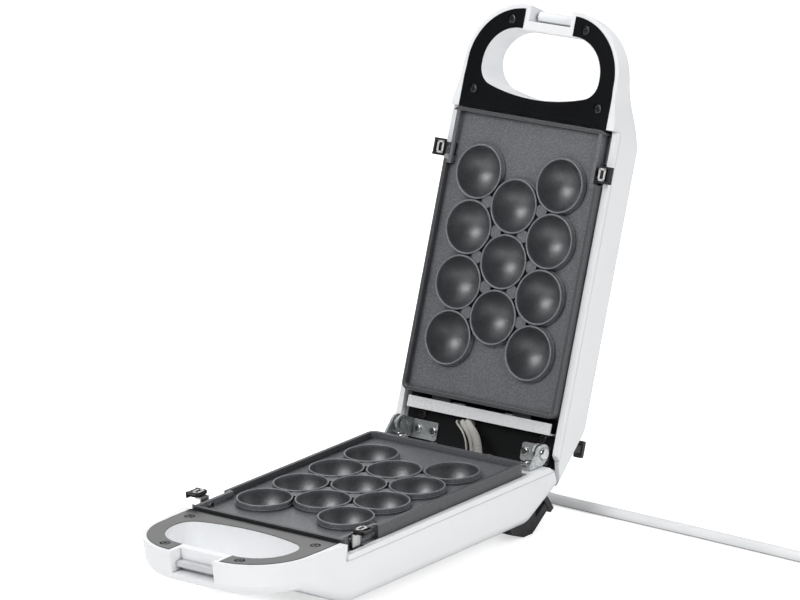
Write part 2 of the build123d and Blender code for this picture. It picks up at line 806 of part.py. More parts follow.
# ---------------------------------------------------------------- plate clips
def plate_clip(side, clip_y, rim_depth, top):
    """Steel catch: an upright strip curled round its pin, a nose and an outward arm."""
    pivot_z = -rim_depth - clip_pivot_drop
    with BuildPart() as clip:
        with BuildSketch(Plane.XZ.offset(-clip_y)):
            with Locations((side * clip_pivot_x, (pivot_z + top) / 2)):
                Rectangle(clip_strip, top - pivot_z)
            with Locations((side * (clip_pivot_x - clip_nose / 2), -clip_nose_depth)):
                Rectangle(clip_nose + clip_strip, clip_strip, align=(Align.CENTER, Align.MAX))
            with Locations((side * (clip_pivot_x + lever_start / 2), top)):
                Rectangle(lever_start + clip_strip, clip_strip, align=(Align.CENTER, Align.MAX))
            with Locations((side * clip_pivot_x, pivot_z)):
                Circle(clip_curl_radius)
                Circle(clip_pin_radius + pin_fit, mode=Mode.SUBTRACT)
        extrude(amount=clip_width / 2, both=True)
    return clip


def clip_lever(side, clip_y, top):
    """Black finger lever seated on the arm of a plate clip."""
    with BuildPart() as lever:
        start = clip_pivot_x + lever_start - clip_strip
        with Locations((side * (start + lever_reach / 2), clip_y, top)):
            Box(lever_reach, lever_length, lever_thickness, align=(Align.CENTER, Align.CENTER, Align.MIN))
        with Locations((side * (start + lever_reach - lever_thickness / 2), clip_y, top)):
            Box(
                lever_thickness,
                lever_length,
                lever_thickness / 2,
                align=(Align.CENTER, Align.CENTER, Align.MAX),
            )
        fillet(lever.edges().filter_by(Axis.Y).group_by(Axis.Z)[-1], lever_thickness / 4)
    return lever


def clip_pins(clip_y, rim_depth):
    """The two pins of a half's clips, pressed into the ears of its tray."""
    with BuildPart() as pins:
        with BuildSketch(Plane.XZ.offset(-clip_y)):
            with Locations(*both_sides(clip_pivot_x, -rim_depth - clip_pivot_drop)):
                Circle(clip_pin_radius)
        extrude(amount=clip_ear_span / 2, both=True)
    return pins


# ---------------------------------------------------------------- hinge
def bracket_ear(x_middle, radius, hole_radius, axis_z, foot):
    """Upright sheet of a hinge bracket, rounded about the hinge axis and pierced for the rivet."""
    with BuildPart() as sheet:
        with BuildSketch(Plane.YZ.offset(x_middle)):
            with Locations((hinge_y, axis_z)):
                Circle(radius)
            with Locations((foot[0], foot[2])):
                Rectangle(foot[1] - foot[0], bracket_sheet, align=(Align.MIN, Align.MIN))
            make_hull()
            with Locations((hinge_y, axis_z)):
                Circle(hole_radius, mode=Mode.SUBTRACT)
        extrude(amount=bracket_sheet / 2, both=True)
    return sheet.part


def hinge_bracket(side, x_span, foot, places, sheet):
    """Flange with screw holes, joined to its ear; foot gives its two ends and its underside."""
    width = x_span[1] - x_span[0]
    length = foot[1] - foot[0]
    with BuildPart() as bracket:
        with BuildSketch(Plane.XY.offset(foot[2])):
            with Locations((side * (x_span[0] + width / 2), (foot[0] + foot[1]) / 2)):
                RectangleRounded(width, length, bracket_corner)
            with Locations((side * (x_span[1] - bracket_corner), (foot[0] + foot[1]) / 2)):
                Rectangle(2 * bracket_corner, length)
            with Locations(*[(side * x, y) for x, y in places]):
                Circle(screw_shank_radius, mode=Mode.SUBTRACT)
        extrude(amount=bracket_sheet)
        add(sheet)
    return bracket


def hinge_rivet(side):
    """Rivet through both ears: domed head outside, flat formed tail inside."""
    shank = base_ear_x + bracket_sheet - lid_ear_x + hinge_gap
    start = side * (lid_ear_x - hinge_gap)
    with BuildPart(Plane((start, hinge_y, hinge_height), z_dir=(side, 0, 0))) as rivet:
        Cylinder(rivet_radius, shank, align=(Align.CENTER, Align.CENTER, Align.MIN))
        Cylinder(rivet_tail_radius, rivet_tail_height, align=(Align.CENTER, Align.CENTER, Align.MAX))
        with Locations((0, 0, shank)):
            Cylinder(rivet_head_radius, rivet_head_height, align=(Align.CENTER, Align.CENTER, Align.MIN))
        domed = rivet.edges().filter_by(GeomType.CIRCLE).sort_by(Axis.X)[-1 if side > 0 else 0]
        fillet(domed, rivet_head_round)
    return rivet


def hinge_spacer(side):
    """Bush that keeps the two ears of a hinge apart, tight on its rivet."""
    with BuildPart(Plane((side * lid_ear_outer, hinge_y, hinge_height), z_dir=(side, 0, 0))) as spacer:
        with Locations((0, 0, hinge_gap)):
            Cylinder(spacer_radius, spacer_thickness, align=(Align.CENTER, Align.CENTER, Align.MIN))
            Cylinder(rivet_radius, 4 * spacer_thickness, mode=Mode.SUBTRACT)
    return spacer


# ---------------------------------------------------------------- feet, hooks, cord and plug
def rear_foot(side):
    """Rubber boot under the rear edge that runs on into a T-shaped cord hook."""
    with BuildPart() as foot:
        with BuildSketch(Plane.YZ.offset(side * rear_foot_x)):
            with BuildLine():
                Polyline(
                    (boot_toe, -body_depth + boot_step),
                    (boot_toe + boot_step, -body_depth - boot_step),
                    (boot_toe + boot_slope, -standing_height),
                    (boot_sole_end, -standing_height),
                    (boot_heel, -standing_height + boot_step),
                    (boot_heel, -body_depth + 2 * boot_step),
                    close=True,
                )
            make_face()
        extrude(amount=rear_foot_half, both=True)
        with BuildSketch(Plane.YZ.offset(side * rear_foot_x)):
            with Locations(Location((boot_hook_y, -boot_hook_depth), boot_hook_angle)):
                Rectangle(boot_stem_length, boot_stem, align=(Align.MAX, Align.CENTER))
        extrude(amount=boot_stem, both=True)
        with BuildSketch(Plane.YZ.offset(side * rear_foot_x)):
            with Locations(Location((boot_hook_y, -boot_hook_depth), boot_hook_angle)):
                Rectangle(boot_hook_sheet, boot_hook_length, align=(Align.MIN, Align.CENTER))
        extrude(amount=rear_foot_half, both=True)
        add(base_block, mode=Mode.SUBTRACT)
    return foot


def lid_hook(side):
    """T-shaped cord hook on the sloping back of the lid."""
    stem_end = hook_seat + hook_stem_length
    with BuildPart() as hook:
        with BuildSketch(Plane.XY.offset(-stem_end)):
            with Locations((side * hook_x, hook_y)):
                Rectangle(hook_stem, hook_stem)
        extrude(amount=2 * hook_stem_length)
        with Locations((side * hook_x, hook_y, -stem_end)):
            Box(
                hook_head_width,
                hook_head_length,
                hook_head_thickness,
                align=(Align.CENTER, Align.CENTER, Align.MAX),
            )
        fillet(hook.edges().filter_by(Axis.Z).group_by(Axis.Z)[0], hook_corner)
        fillet(hook.edges().group_by(Axis.Z)[0], hook_edge)
        add(lid_block, mode=Mode.SUBTRACT)
    return hook


def cord_path(points):
    """Centre line of a cord: straight runs joined by arcs as large as the runs allow."""
    places = [Vector(*point) for point in points]
    runs = [end - start for start, end in zip(places, places[1:])]
    radii = []
    for before, after in zip(runs, runs[1:]):
        turn = radians(before.get_angle(after))
        radii.append(cord_bend_share * min(before.length, after.length) / tan(turn / 2))
    print("cord radii", [round(radius, 1) for radius in radii])
    with BuildLine() as path:
        FilletPolyline(*points, radius=radii)
    return path.wire()


def cord_tube(points, radius):
    """Solid of a cord along the given route."""
    centre_line = cord_path(points)
    with BuildPart() as tube:
        with BuildLine():
            add(centre_line)
        with BuildSketch(Plane(centre_line @ 0, z_dir=centre_line % 0)):
            Circle(radius)
        sweep()
    section = pi * radius**2
    print("cord volume against section times length", tube.part.volume / (section * centre_line.length))
    return tube


# ================================================================ the base half
base_pieces = {}
lid_pieces = {}
screw_pattern = pan_screw()
base_block = shell_block(base_tip_y, base_tip_depth, 0)
lid_block = shell_block(lid_tip_y, lid_tip_depth, 0)
cup_pattern = cup()

tray_posts = [(x, y, tray_depth + tray_sheet) for x, y in tray_screws]
trim_posts = [(x, y, trim_seat) for x, y in trim_screws]
base_opening_end = plate_rear + 2 * plate_clearance
base_shell = half_shell(
    *base_line, base_opening_end, base_pocket_depth, base_clip_y, tray_posts + trim_posts
)
base_screw_places = both_sides(*base_bracket_screws[0]) + both_sides(*base_bracket_screws[1])
with BuildPart() as base_body:
    add(base_shell.part)
    with Locations(*[(x, y, -base_rim_depth) for x, y in base_screw_places + base_rail_screws]):
        Cylinder(screw_shank_radius, 2 * screw_length, mode=Mode.SUBTRACT)
    with BuildSketch(Plane.XZ.offset(-cord_exit_y)):
        with Locations((relief_x, -relief_depth)):
            Circle(relief_radius)
    extrude(amount=2 * relief_length, mode=Mode.SUBTRACT)
base_pieces["base_shell"] = base_body

base_pieces["base_plate"] = cooking_plate(base_clip_y)
base_pieces["base_heat_tray"] = heat_tray(base_clip_y, base_rim_depth)
base_pieces["base_tray_screws"] = screw_set(tray_screws, tray_depth)
base_pieces["base_heater"] = heater()
base_pieces["base_thermostat"] = thermostat()
base_pieces["base_plate_rail"] = plate_rail(base_rail_half, base_rim_depth, base_rail_screws)
base_pieces["base_rail_screws"] = screw_set(base_rail_screws, base_rim_depth - rail_sheet)
base_pieces["base_handle_trim"] = handle_trim()
base_pieces["base_trim_screws"] = screw_set(trim_screws, trim_top_depth + bore_depth)
base_pieces["base_clip_pins"] = clip_pins(base_clip_y, base_rim_depth)
base_pieces["base_bracket_screws"] = screw_set(base_screw_places, base_rim_depth - bracket_sheet)

keeper_front = pivot_y - latch_barrel_radius + latch_arm + latch_fit
with BuildPart() as latch_keeper:
    with Locations((0, (keeper_front - pocket_rear) / 2, -keeper_depth)):
        Box(
            2 * latch_pocket_half,
            -pocket_rear - keeper_front,
            keeper_thickness,
            align=(Align.CENTER, Align.CENTER, Align.MAX),
        )
base_pieces["latch_keeper"] = latch_keeper

sides = {"left": -1, "right": 1}
for hand, side in sides.items():
    base_foot = (base_flange_start, base_flange_end, -base_rim_depth)
    base_ear = bracket_ear(
        side * (base_ear_x + bracket_sheet / 2), base_ear_radius, rivet_radius, hinge_height, base_foot
    )
    base_pieces[f"base_hinge_bracket_{hand}"] = hinge_bracket(
        side, (base_outer_x - base_flange_width, base_outer_x), base_foot, base_bracket_screws, base_ear
    )
    base_pieces[f"hinge_rivet_{hand}"] = hinge_rivet(side)
    base_pieces[f"hinge_spacer_{hand}"] = hinge_spacer(side)
    base_pieces[f"rear_foot_{hand}"] = rear_foot(side)
    base_pieces[f"base_clip_{hand}"] = plate_clip(side, base_clip_y, base_rim_depth, base_clip_top)
    base_pieces[f"base_clip_lever_{hand}"] = clip_lever(side, base_clip_y, base_clip_top)

with BuildPart() as front_feet:
    with Locations(*[(x, y, -body_depth) for x, y in both_sides(front_foot_x, front_foot_y)]):
        Cylinder(
            front_foot_radius, standing_height - body_depth, align=(Align.CENTER, Align.CENTER, Align.MAX)
        )
    chamfer(front_feet.edges().group_by(Axis.Z)[0], front_foot_radius / 6)
base_pieces["front_feet"] = front_feet

with BuildPart() as terminal_block:
    with Locations((relief_x, terminal_y, -body_depth + body_wall)):
        Box(
            terminal_length, terminal_width, terminal_height, align=(Align.CENTER, Align.CENTER, Align.MIN)
        )
base_pieces["terminal_block"] = terminal_block

with BuildPart(Plane((relief_x, cord_exit_y, -relief_depth), z_dir=(0, -1, 0))) as cord_relief:
    Cone(
        cord_radius + sleeve_wall,
        relief_radius,
        relief_length / 2,
        align=(Align.CENTER, Align.CENTER, Align.MIN),
    )
    with Locations((0, 0, relief_length / 2)):
        Cylinder(relief_radius, 1.5 * relief_length, align=(Align.CENTER, Align.CENTER, Align.MIN))
base_pieces["cord_relief"] = cord_relief

base_pieces["power_cord"] = cord_tube(cord_route, cord_radius)
base_pieces["cord_tail"] = cord_tube(tail_route, cord_radius)
with BuildPart() as cord_coil:
    with BuildSketch(Plane.XY.offset(-standing_height)):
        with Locations((coil_x, coil_y)):
            Circle(coil_turn_radius + coil_half_width)
            Circle(coil_turn_radius - coil_half_width, mode=Mode.SUBTRACT)
    extrude(amount=coil_height)
base_pieces["cord_coil"] = cord_coil

tail_end = Vector(*tail_route[-1])
tail_run = tail_end - Vector(*tail_route[-2])
plug_plane = Plane(tail_end, x_dir=(tail_run.Y, -tail_run.X, 0), z_dir=(tail_run.X, tail_run.Y, 0))
with BuildPart() as plug_body:
    with BuildSketch(plug_plane):
        Circle(cord_radius + sleeve_wall)
    with BuildSketch(plug_plane.offset(plug_nose)):
        Circle(plug_height / 2 - 0.5)
    loft()
    with BuildSketch(plug_plane.offset(plug_nose)):
        RectangleRounded(plug_width, plug_height, plug_height / 3)
    extrude(amount=plug_length)
base_pieces["plug_body"] = plug_body

with BuildPart() as plug_blades:
    with BuildSketch(plug_plane.offset(plug_nose + plug_length)):
        with Locations(*both_sides(blade_spacing / 2, 0)):
            Rectangle(blade_thickness, blade_width)
    extrude(amount=blade_length)
base_pieces["plug_blades"] = plug_blades

# ================================================================ the lid half, drawn cups up
panel_seat = rear_panel_depth + rear_panel_thickness
lid_screw_places = both_sides(*lid_bracket_screws[0]) + both_sides(*lid_bracket_screws[1])
panel_posts = [(x, y, panel_seat) for x, y in lid_screw_places + panel_screws]
lid_shell = half_shell(
    *lid_line, panel_end + panel_fit, deep, lid_clip_y, tray_posts + trim_posts + panel_posts
)
with BuildPart() as lid_body:
    add(lid_shell.part)
    for place in both_sides(latch_pocket_half, pivot_y):
        with Locations(Location((place[0], place[1], -latch_pivot_height), (0, 90, 0))):
            Cylinder(pin_radius, latch_pin_bite * 2, mode=Mode.SUBTRACT)
    with Locations(*[(x, y, -body_depth) for x, y in both_sides(lamp_x, lamp_y)]):
        Cylinder(lamp_radius, 4 * body_wall, mode=Mode.SUBTRACT)
lid_pieces["lid_shell"] = lid_body

lid_pieces["lid_plate"] = cooking_plate(lid_clip_y)
lid_pieces["lid_heat_tray"] = heat_tray(lid_clip_y, lid_rim_depth)
lid_pieces["lid_tray_screws"] = screw_set(tray_screws, tray_depth)
lid_pieces["lid_heater"] = heater()
lid_pieces["lid_thermostat"] = thermostat()
lid_pieces["lid_plate_rail"] = plate_rail(lid_rail_half, rear_panel_depth, lid_rail_screws)
lid_pieces["lid_rail_screws"] = screw_set(lid_rail_screws, rear_panel_depth - rail_sheet)
lid_pieces["lid_handle_trim"] = handle_trim()
lid_pieces["lid_trim_screws"] = screw_set(trim_screws, trim_top_depth + bore_depth)
lid_pieces["lid_clip_pins"] = clip_pins(lid_clip_y, lid_rim_depth)
lid_pieces["lid_bracket_screws"] = screw_set(lid_screw_places, rear_panel_depth - bracket_sheet)
lid_pieces["panel_screws"] = screw_set(panel_screws, rear_panel_depth)

with BuildPart() as lid_rear_panel:
    with BuildSketch(Plane.XY.offset(-rear_panel_depth)):
        with Locations((0, panel_y)):
            Rectangle(2 * panel_half, rear_panel_length, align=(Align.CENTER, Align.MIN))
        with Locations(*(lid_screw_places + panel_screws + lid_rail_screws)):
            Circle(screw_shank_radius, mode=Mode.SUBTRACT)
    extrude(amount=-rear_panel_thickness)
lid_pieces["lid_rear_panel"] = lid_rear_panel

for hand, side in sides.items():
    lid_foot = (
        lid_flange_y - lid_flange_length / 2,
        lid_flange_y + lid_flange_length / 2,
        -rear_panel_depth,
    )
    lid_ear = bracket_ear(
        side * (lid_ear_outer - bracket_sheet / 2),
        lid_ear_radius,
        rivet_radius + pin_fit,
        -hinge_height,
        lid_foot,
    )
    lid_pieces[f"lid_hinge_bracket_{hand}"] = hinge_bracket(
        side, (lid_ear_outer - lid_flange_width, lid_ear_outer), lid_foot, lid_bracket_screws, lid_ear
    )
    lid_pieces[f"lid_hook_{hand}"] = lid_hook(side)
    lid_pieces[f"lid_clip_{hand}"] = plate_clip(side, lid_clip_y, lid_rim_depth, lid_clip_top)
    lid_pieces[f"lid_clip_lever_{hand}"] = clip_lever(side, lid_clip_y, lid_clip_top)

for name, x in {"power_lamp": -lamp_x, "ready_lamp": lamp_x}.items():
    with BuildPart() as lamp:
        with Locations((x, lamp_y, -body_depth - lamp_proud)):
            Cylinder(lamp_radius, lamp_length, align=(Align.CENTER, Align.CENTER, Align.MIN))
        fillet(lamp.edges().group_by(Axis.Z)[0], lamp_round)
    lid_pieces[name] = lamp

latch_pin_half = latch_pocket_half + latch_pin_bite
with BuildPart() as latch_pin:
    with Locations(Location((0, pivot_y, -latch_pivot_height), (0, 90, 0))):
        Cylinder(pin_radius, 2 * latch_pin_half)
lid_pieces["latch_pin"] = latch_pin

with BuildPart() as latch_clip:
    with BuildSketch(Plane.YZ):
        with Locations((pivot_y, -latch_pivot_height)):
            Circle(latch_barrel_radius)
        with Locations((pivot_y + latch_barrel_radius, -latch_pivot_height)):
            Rectangle(latch_arm, arm_length, align=(Align.MAX, Align.MAX))
        with Locations((pivot_y + latch_barrel_radius, -latch_pivot_height - arm_length)):
            Rectangle(latch_arm + latch_toe, latch_arm, align=(Align.MAX, Align.MIN))
        with Locations((pivot_y, -latch_pivot_height)):
            Circle(pin_radius + pin_fit, mode=Mode.SUBTRACT)
    extrude(amount=latch_half, both=True)
lid_pieces["latch_clip"] = latch_clip

# ================================================================ assembly
about_hinge = Location((0, hinge_y, hinge_height))
open_lid = about_hinge * Location((0, 0, 0), (-lid_open_angle, 0, 0)) * about_hinge.inverse()

sleeve_seat = open_lid * Location((sleeve_lid_x, sleeve_lid_y, rear_panel_depth - sleeve_gap))
sleeve_lead = open_lid * Location((sleeve_lid_x, sleeve_lid_y, rear_panel_depth - sleeve_rise))
sleeve_route = [
    (sleeve_base_x, sleeve_base_y, -base_rim_depth + sleeve_gap),
    (sleeve_base_x, sleeve_base_y, -base_rim_depth + sleeve_rise),
    tuple(sleeve_lead.position),
    tuple(sleeve_seat.position),
]
base_pieces["wire_sleeve"] = cord_tube(sleeve_route, sleeve_radius)

finished = {name: piece.part for name, piece in base_pieces.items()}
for name, piece in lid_pieces.items():
    finished[name] = piece.part.mirror(Plane.XY).moved(open_lid)

# The appliance stands on its feet, with the middle of its open footprint at the origin.
free_cord = ("power_cord", "cord_tail", "cord_coil", "plug_body", "plug_blades")
boxes = [piece.bounding_box() for name, piece in finished.items() if name not in free_cord]
middle_y = (min(box.min.Y for box in boxes) + max(box.max.Y for box in boxes)) / 2
standing = Location((0, -middle_y, standing_height))
for name, piece in finished.items():
    placed = piece.moved(standing)
    placed.label = name
    export_step(placed, f"parts/{name}.step")

hinge_place = (standing * about_hinge).position
latch_turn = open_lid * Location((0, pivot_y, latch_pivot_height))
latch_place = (standing * latch_turn).position
print("origin moved back by", round(middle_y, 4))
print("lid axis", hinge_place, "latch axis", latch_place)
for half_name, turn, pivot_z, clip_y in (
    ("base clips", Location((0, 0, 0)), -base_rim_depth - clip_pivot_drop, base_clip_y),
    ("lid clips", open_lid, lid_rim_depth + clip_pivot_drop, lid_clip_y),
):
    print(half_name, (standing * turn * Location((clip_pivot_x, clip_y, pivot_z))).position)
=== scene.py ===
import math

import bmesh
import bpy
import numpy as np
from mathutils import Matrix, Vector


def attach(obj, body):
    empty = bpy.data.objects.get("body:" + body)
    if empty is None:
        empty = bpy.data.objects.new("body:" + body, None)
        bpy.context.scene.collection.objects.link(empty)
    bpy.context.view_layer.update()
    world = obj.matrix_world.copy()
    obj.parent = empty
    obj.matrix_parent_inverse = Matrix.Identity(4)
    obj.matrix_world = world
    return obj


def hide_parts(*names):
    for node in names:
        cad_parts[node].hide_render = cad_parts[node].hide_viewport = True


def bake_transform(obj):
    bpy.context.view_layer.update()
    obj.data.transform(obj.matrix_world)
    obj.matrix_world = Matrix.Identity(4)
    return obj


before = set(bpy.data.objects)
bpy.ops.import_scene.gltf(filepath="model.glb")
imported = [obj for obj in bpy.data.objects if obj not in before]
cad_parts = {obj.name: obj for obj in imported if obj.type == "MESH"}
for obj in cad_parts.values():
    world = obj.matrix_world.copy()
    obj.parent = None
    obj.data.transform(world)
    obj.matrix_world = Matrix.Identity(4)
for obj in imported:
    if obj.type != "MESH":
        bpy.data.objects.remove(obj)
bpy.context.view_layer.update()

mm = 0.001

# ---------------------------------------------------------------- camera
# The appliance stands open with its handle towards the lower left.  The camera is far off on a
# long lens, to the right of the handle and a little above the table.
base_plate_middle = Vector((0, -38.684, 52)) * mm
camera_turn = math.radians(37.677)
camera_rise = math.radians(16.209)
camera_roll = math.radians(-1.033)
camera_offset = Vector((25.50, 113.62, 3486.56)) * mm
camera_lens = 252.6


def add_piece(name, data):
    """A new object at the origin, neither turned nor scaled."""
    piece = bpy.data.objects.new(name, data)
    bpy.context.collection.objects.link(piece)
    return piece


level_right = Vector((math.cos(camera_turn), math.sin(camera_turn), 0))
camera_back = Vector(
    (
        math.sin(camera_turn) * math.cos(camera_rise),
        -math.cos(camera_turn) * math.cos(camera_rise),
        math.sin(camera_rise),
    )
)
level_up = camera_back.cross(level_right)
camera_right = math.cos(camera_roll) * level_right + math.sin(camera_roll) * level_up
camera_up = math.cos(camera_roll) * level_up - math.sin(camera_roll) * level_right
camera_axes = Matrix((camera_right, camera_up, camera_back)).transposed()
camera = add_piece("camera", bpy.data.cameras.new("camera"))
camera.data.lens = camera_lens
camera.data.sensor_width = 36
camera.data.clip_end = 20
camera.matrix_world = (
    Matrix.Translation(base_plate_middle + camera_axes @ camera_offset) @ camera_axes.to_4x4()
)
bpy.context.scene.camera = camera

# ---------------------------------------------------------------- power cord
# A white round cord leaves the back of the base, drops to the table and runs off to the right.
# What is left of it is wound in a small coil held by a strap, with a two-blade plug at its end.
edge_softness = 0.35 * mm
# how dark plastic goes where shade is painted into its gaps, as a share of its own colour
plastic_painted_shade = 0.3


def finish(name):
    """A new material with its node tree and its main shader."""
    material = bpy.data.materials.new(name)
    material.use_nodes = True
    shader = material.node_tree.nodes["Principled BSDF"]
    return material, material.node_tree, shader


def noise(tree, scale, detail=2.0, source=None, stretch=None):
    """Soft noise over the piece, in waves to the metre; stretch gives it a grain."""
    texture = tree.nodes.new("ShaderNodeTexNoise")
    texture.inputs["Scale"].default_value = scale
    texture.inputs["Detail"].default_value = detail
    place = tree.nodes.new("ShaderNodeMapping")
    if source is None:
        source = tree.nodes.new("ShaderNodeTexCoord").outputs["Object"]
    tree.links.new(source, place.inputs["Vector"])
    if stretch is not None:
        place.inputs["Scale"].default_value = stretch
    tree.links.new(place.outputs["Vector"], texture.inputs["Vector"])
    return texture.outputs["Fac"]


def between(tree, value, low, high, start=0.3, end=0.7):
    """A number that goes from low to high as value goes from start to end."""
    node = tree.nodes.new("ShaderNodeMapRange")
    node.inputs["From Min"].default_value = start
    node.inputs["From Max"].default_value = end
    node.inputs["To Min"].default_value = low
    node.inputs["To Max"].default_value = high
    tree.links.new(value, node.inputs["Value"])
    return node.outputs["Result"]


def blend_colours(tree, share, first, second):
    """A colour between two colours or sockets."""
    node = tree.nodes.new("ShaderNodeMix")
    node.data_type = "RGBA"
    tree.links.new(share, node.inputs["Factor"])
    for slot, colour in (("A", first), ("B", second)):
        socket = [s for s in node.inputs if s.name == slot and s.type == "RGBA"][0]
        if isinstance(colour, tuple):
            socket.default_value = (*colour, 1)
        else:
            tree.links.new(colour, socket)
    return [s for s in node.outputs if s.type == "RGBA"][0]


def relief(tree, shader, height, depth, under=None):
    """Turns a height into a bump of the given depth in metres, over softened edges."""
    if under is None:
        edge = tree.nodes.new("ShaderNodeBevel")
        edge.samples = 6
        edge.inputs["Radius"].default_value = edge_softness
        under = edge.outputs["Normal"]
    node = tree.nodes.new("ShaderNodeBump")
    node.inputs["Distance"].default_value = depth
    tree.links.new(height, node.inputs["Height"])
    tree.links.new(under, node.inputs["Normal"])
    tree.links.new(node.outputs["Normal"], shader.inputs["Normal"])
    return node.outputs["Normal"]


def painted_gap_shade(tree, colour, shade, reach=2.2 * mm):
    """Painted shade: darkens a colour in narrow gaps and at the foot of steps, where shade falls.
    """
    gap = tree.nodes.new("ShaderNodeAmbientOcclusion")
    gap.samples = 8
    gap.inputs["Distance"].default_value = reach
    closeness = between(tree, gap.outputs["AO"], 1, 0, start=0.15, end=0.8)
    return blend_colours(tree, closeness, colour, shade)


def plastic(name, dark, light, smooth, rough, grain_size, grain_depth):
    """Moulded plastic: faint colour drift, painted shade in gaps, uneven gloss, grain in
    millimetres.
    """
    material, tree, shader = finish(name)
    drift = noise(tree, 22, detail=1)
    colour = blend_colours(tree, between(tree, drift, 0, 1), dark, light)
    # painted shade in gaps and corners
    shaded = painted_gap_shade(tree, colour, tuple(channel * plastic_painted_shade for channel in dark))
    tree.links.new(shaded, shader.inputs["Base Color"])
    patches = noise(tree, 60)
    tree.links.new(between(tree, patches, smooth, rough), shader.inputs["Roughness"])
    relief(tree, shader, noise(tree, 1000 / grain_size, detail=3), grain_depth * mm)
    return material


def coat(material, *names):
    """Gives CAD pieces their material."""
    for name in names:
        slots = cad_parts[name].data.materials
        slots.clear()
        slots.append(material)


def smooth_line(name, points, fineness):
    """A curve that runs smoothly along points given in metres."""
    line = bpy.data.curves.new(name, "CURVE")
    line.dimensions = "3D"
    line.resolution_u = fineness
    spline = line.splines.new("NURBS")
    spline.points.add(len(points) - 1)
    for point, place in zip(spline.points, points):
        point.co = (*place, 1)
    spline.order_u = 3
    spline.use_endpoint_u = True
    return line


cord_white = plastic(
    "cord_white",
    (0.74, 0.75, 0.76),
    (0.8, 0.81, 0.82),
    smooth=0.36,
    rough=0.5,
    grain_size=0.6,
    grain_depth=0.02,
)
# sizes and places of the cord in millimetres, from the middle of the base plate
cord_radius = 3.5
floor_line = -52 + cord_radius
relief_x = -12
relief_z = -36
coil_x = 258
coil_y = 192.6
coil_turns = 2.25
outer_turn = 39.6
inner_turn = 32.4
top_turn = 36.0
top_lift = 6.4
points_per_turn = 16
# out of the base, down to the table and along it to the coil
route = [
    (relief_x, 124, relief_z),
    (relief_x, 139, relief_z),
    (-6, 152.5, -40.5),
    (8, 160, -45.5),
    (29, 162, floor_line),
    (52, 161, floor_line),
    (120, 159.4, floor_line),
    (172, 157.5, floor_line),
    (216, 155.8, floor_line),
]
# turns of the coil, radius of the cord's middle, height over the bottom layer
coil_stations = [
    (0.0, outer_turn, 0.0),
    (0.72, outer_turn, 0.0),
    (1.0, inner_turn, 0.0),
    (1.52, inner_turn, 0.0),
    (1.72, inner_turn + 1.1, 5.7),
    (1.875, top_turn, 7.1),
    (2.0, top_turn, top_lift),
    (coil_turns, top_turn, top_lift + 0.4),
]
stations, station_turns, station_lifts = zip(*coil_stations)
for step in range(int(coil_turns * points_per_turn) + 1):
    turns = step / points_per_turn
    radius = float(np.interp(turns, stations, station_turns))
    lift = float(np.interp(turns, stations, station_lifts))
    angle = 2 * math.pi * turns - math.pi / 2
    route.append(
        (coil_x + radius * math.cos(angle), coil_y + radius * math.sin(angle), floor_line + lift)
    )
# from the top of the coil down to the plug
route += [
    (coil_x + 37.5, coil_y + 9, floor_line + 7.0),
    (coil_x + 40.5, coil_y + 18, floor_line + 6.4),
    (303, 224, -46.5),
    (315, 236, -45.5),
    (331, 241, -45.5),
]
route_points = [Vector(place) * mm + base_plate_middle for place in route]
lead = smooth_line("power_lead", route_points, fineness=6)
lead.bevel_depth = cord_radius * mm
lead.bevel_resolution = 6
lead.use_fill_caps = True
lead.materials.append(cord_white)
power_lead = add_piece("power_lead", lead)
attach(power_lead, "base")
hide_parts("power_cord", "cord_coil", "cord_tail")
coat(cord_white, "plug_body")


def socket_in(tree, name, kind, value=None):
    """A named input of a geometry tree."""
    socket = tree.interface.new_socket(name=name, in_out="INPUT", socket_type=kind)
    if value is not None:
        socket.default_value = value
    return socket


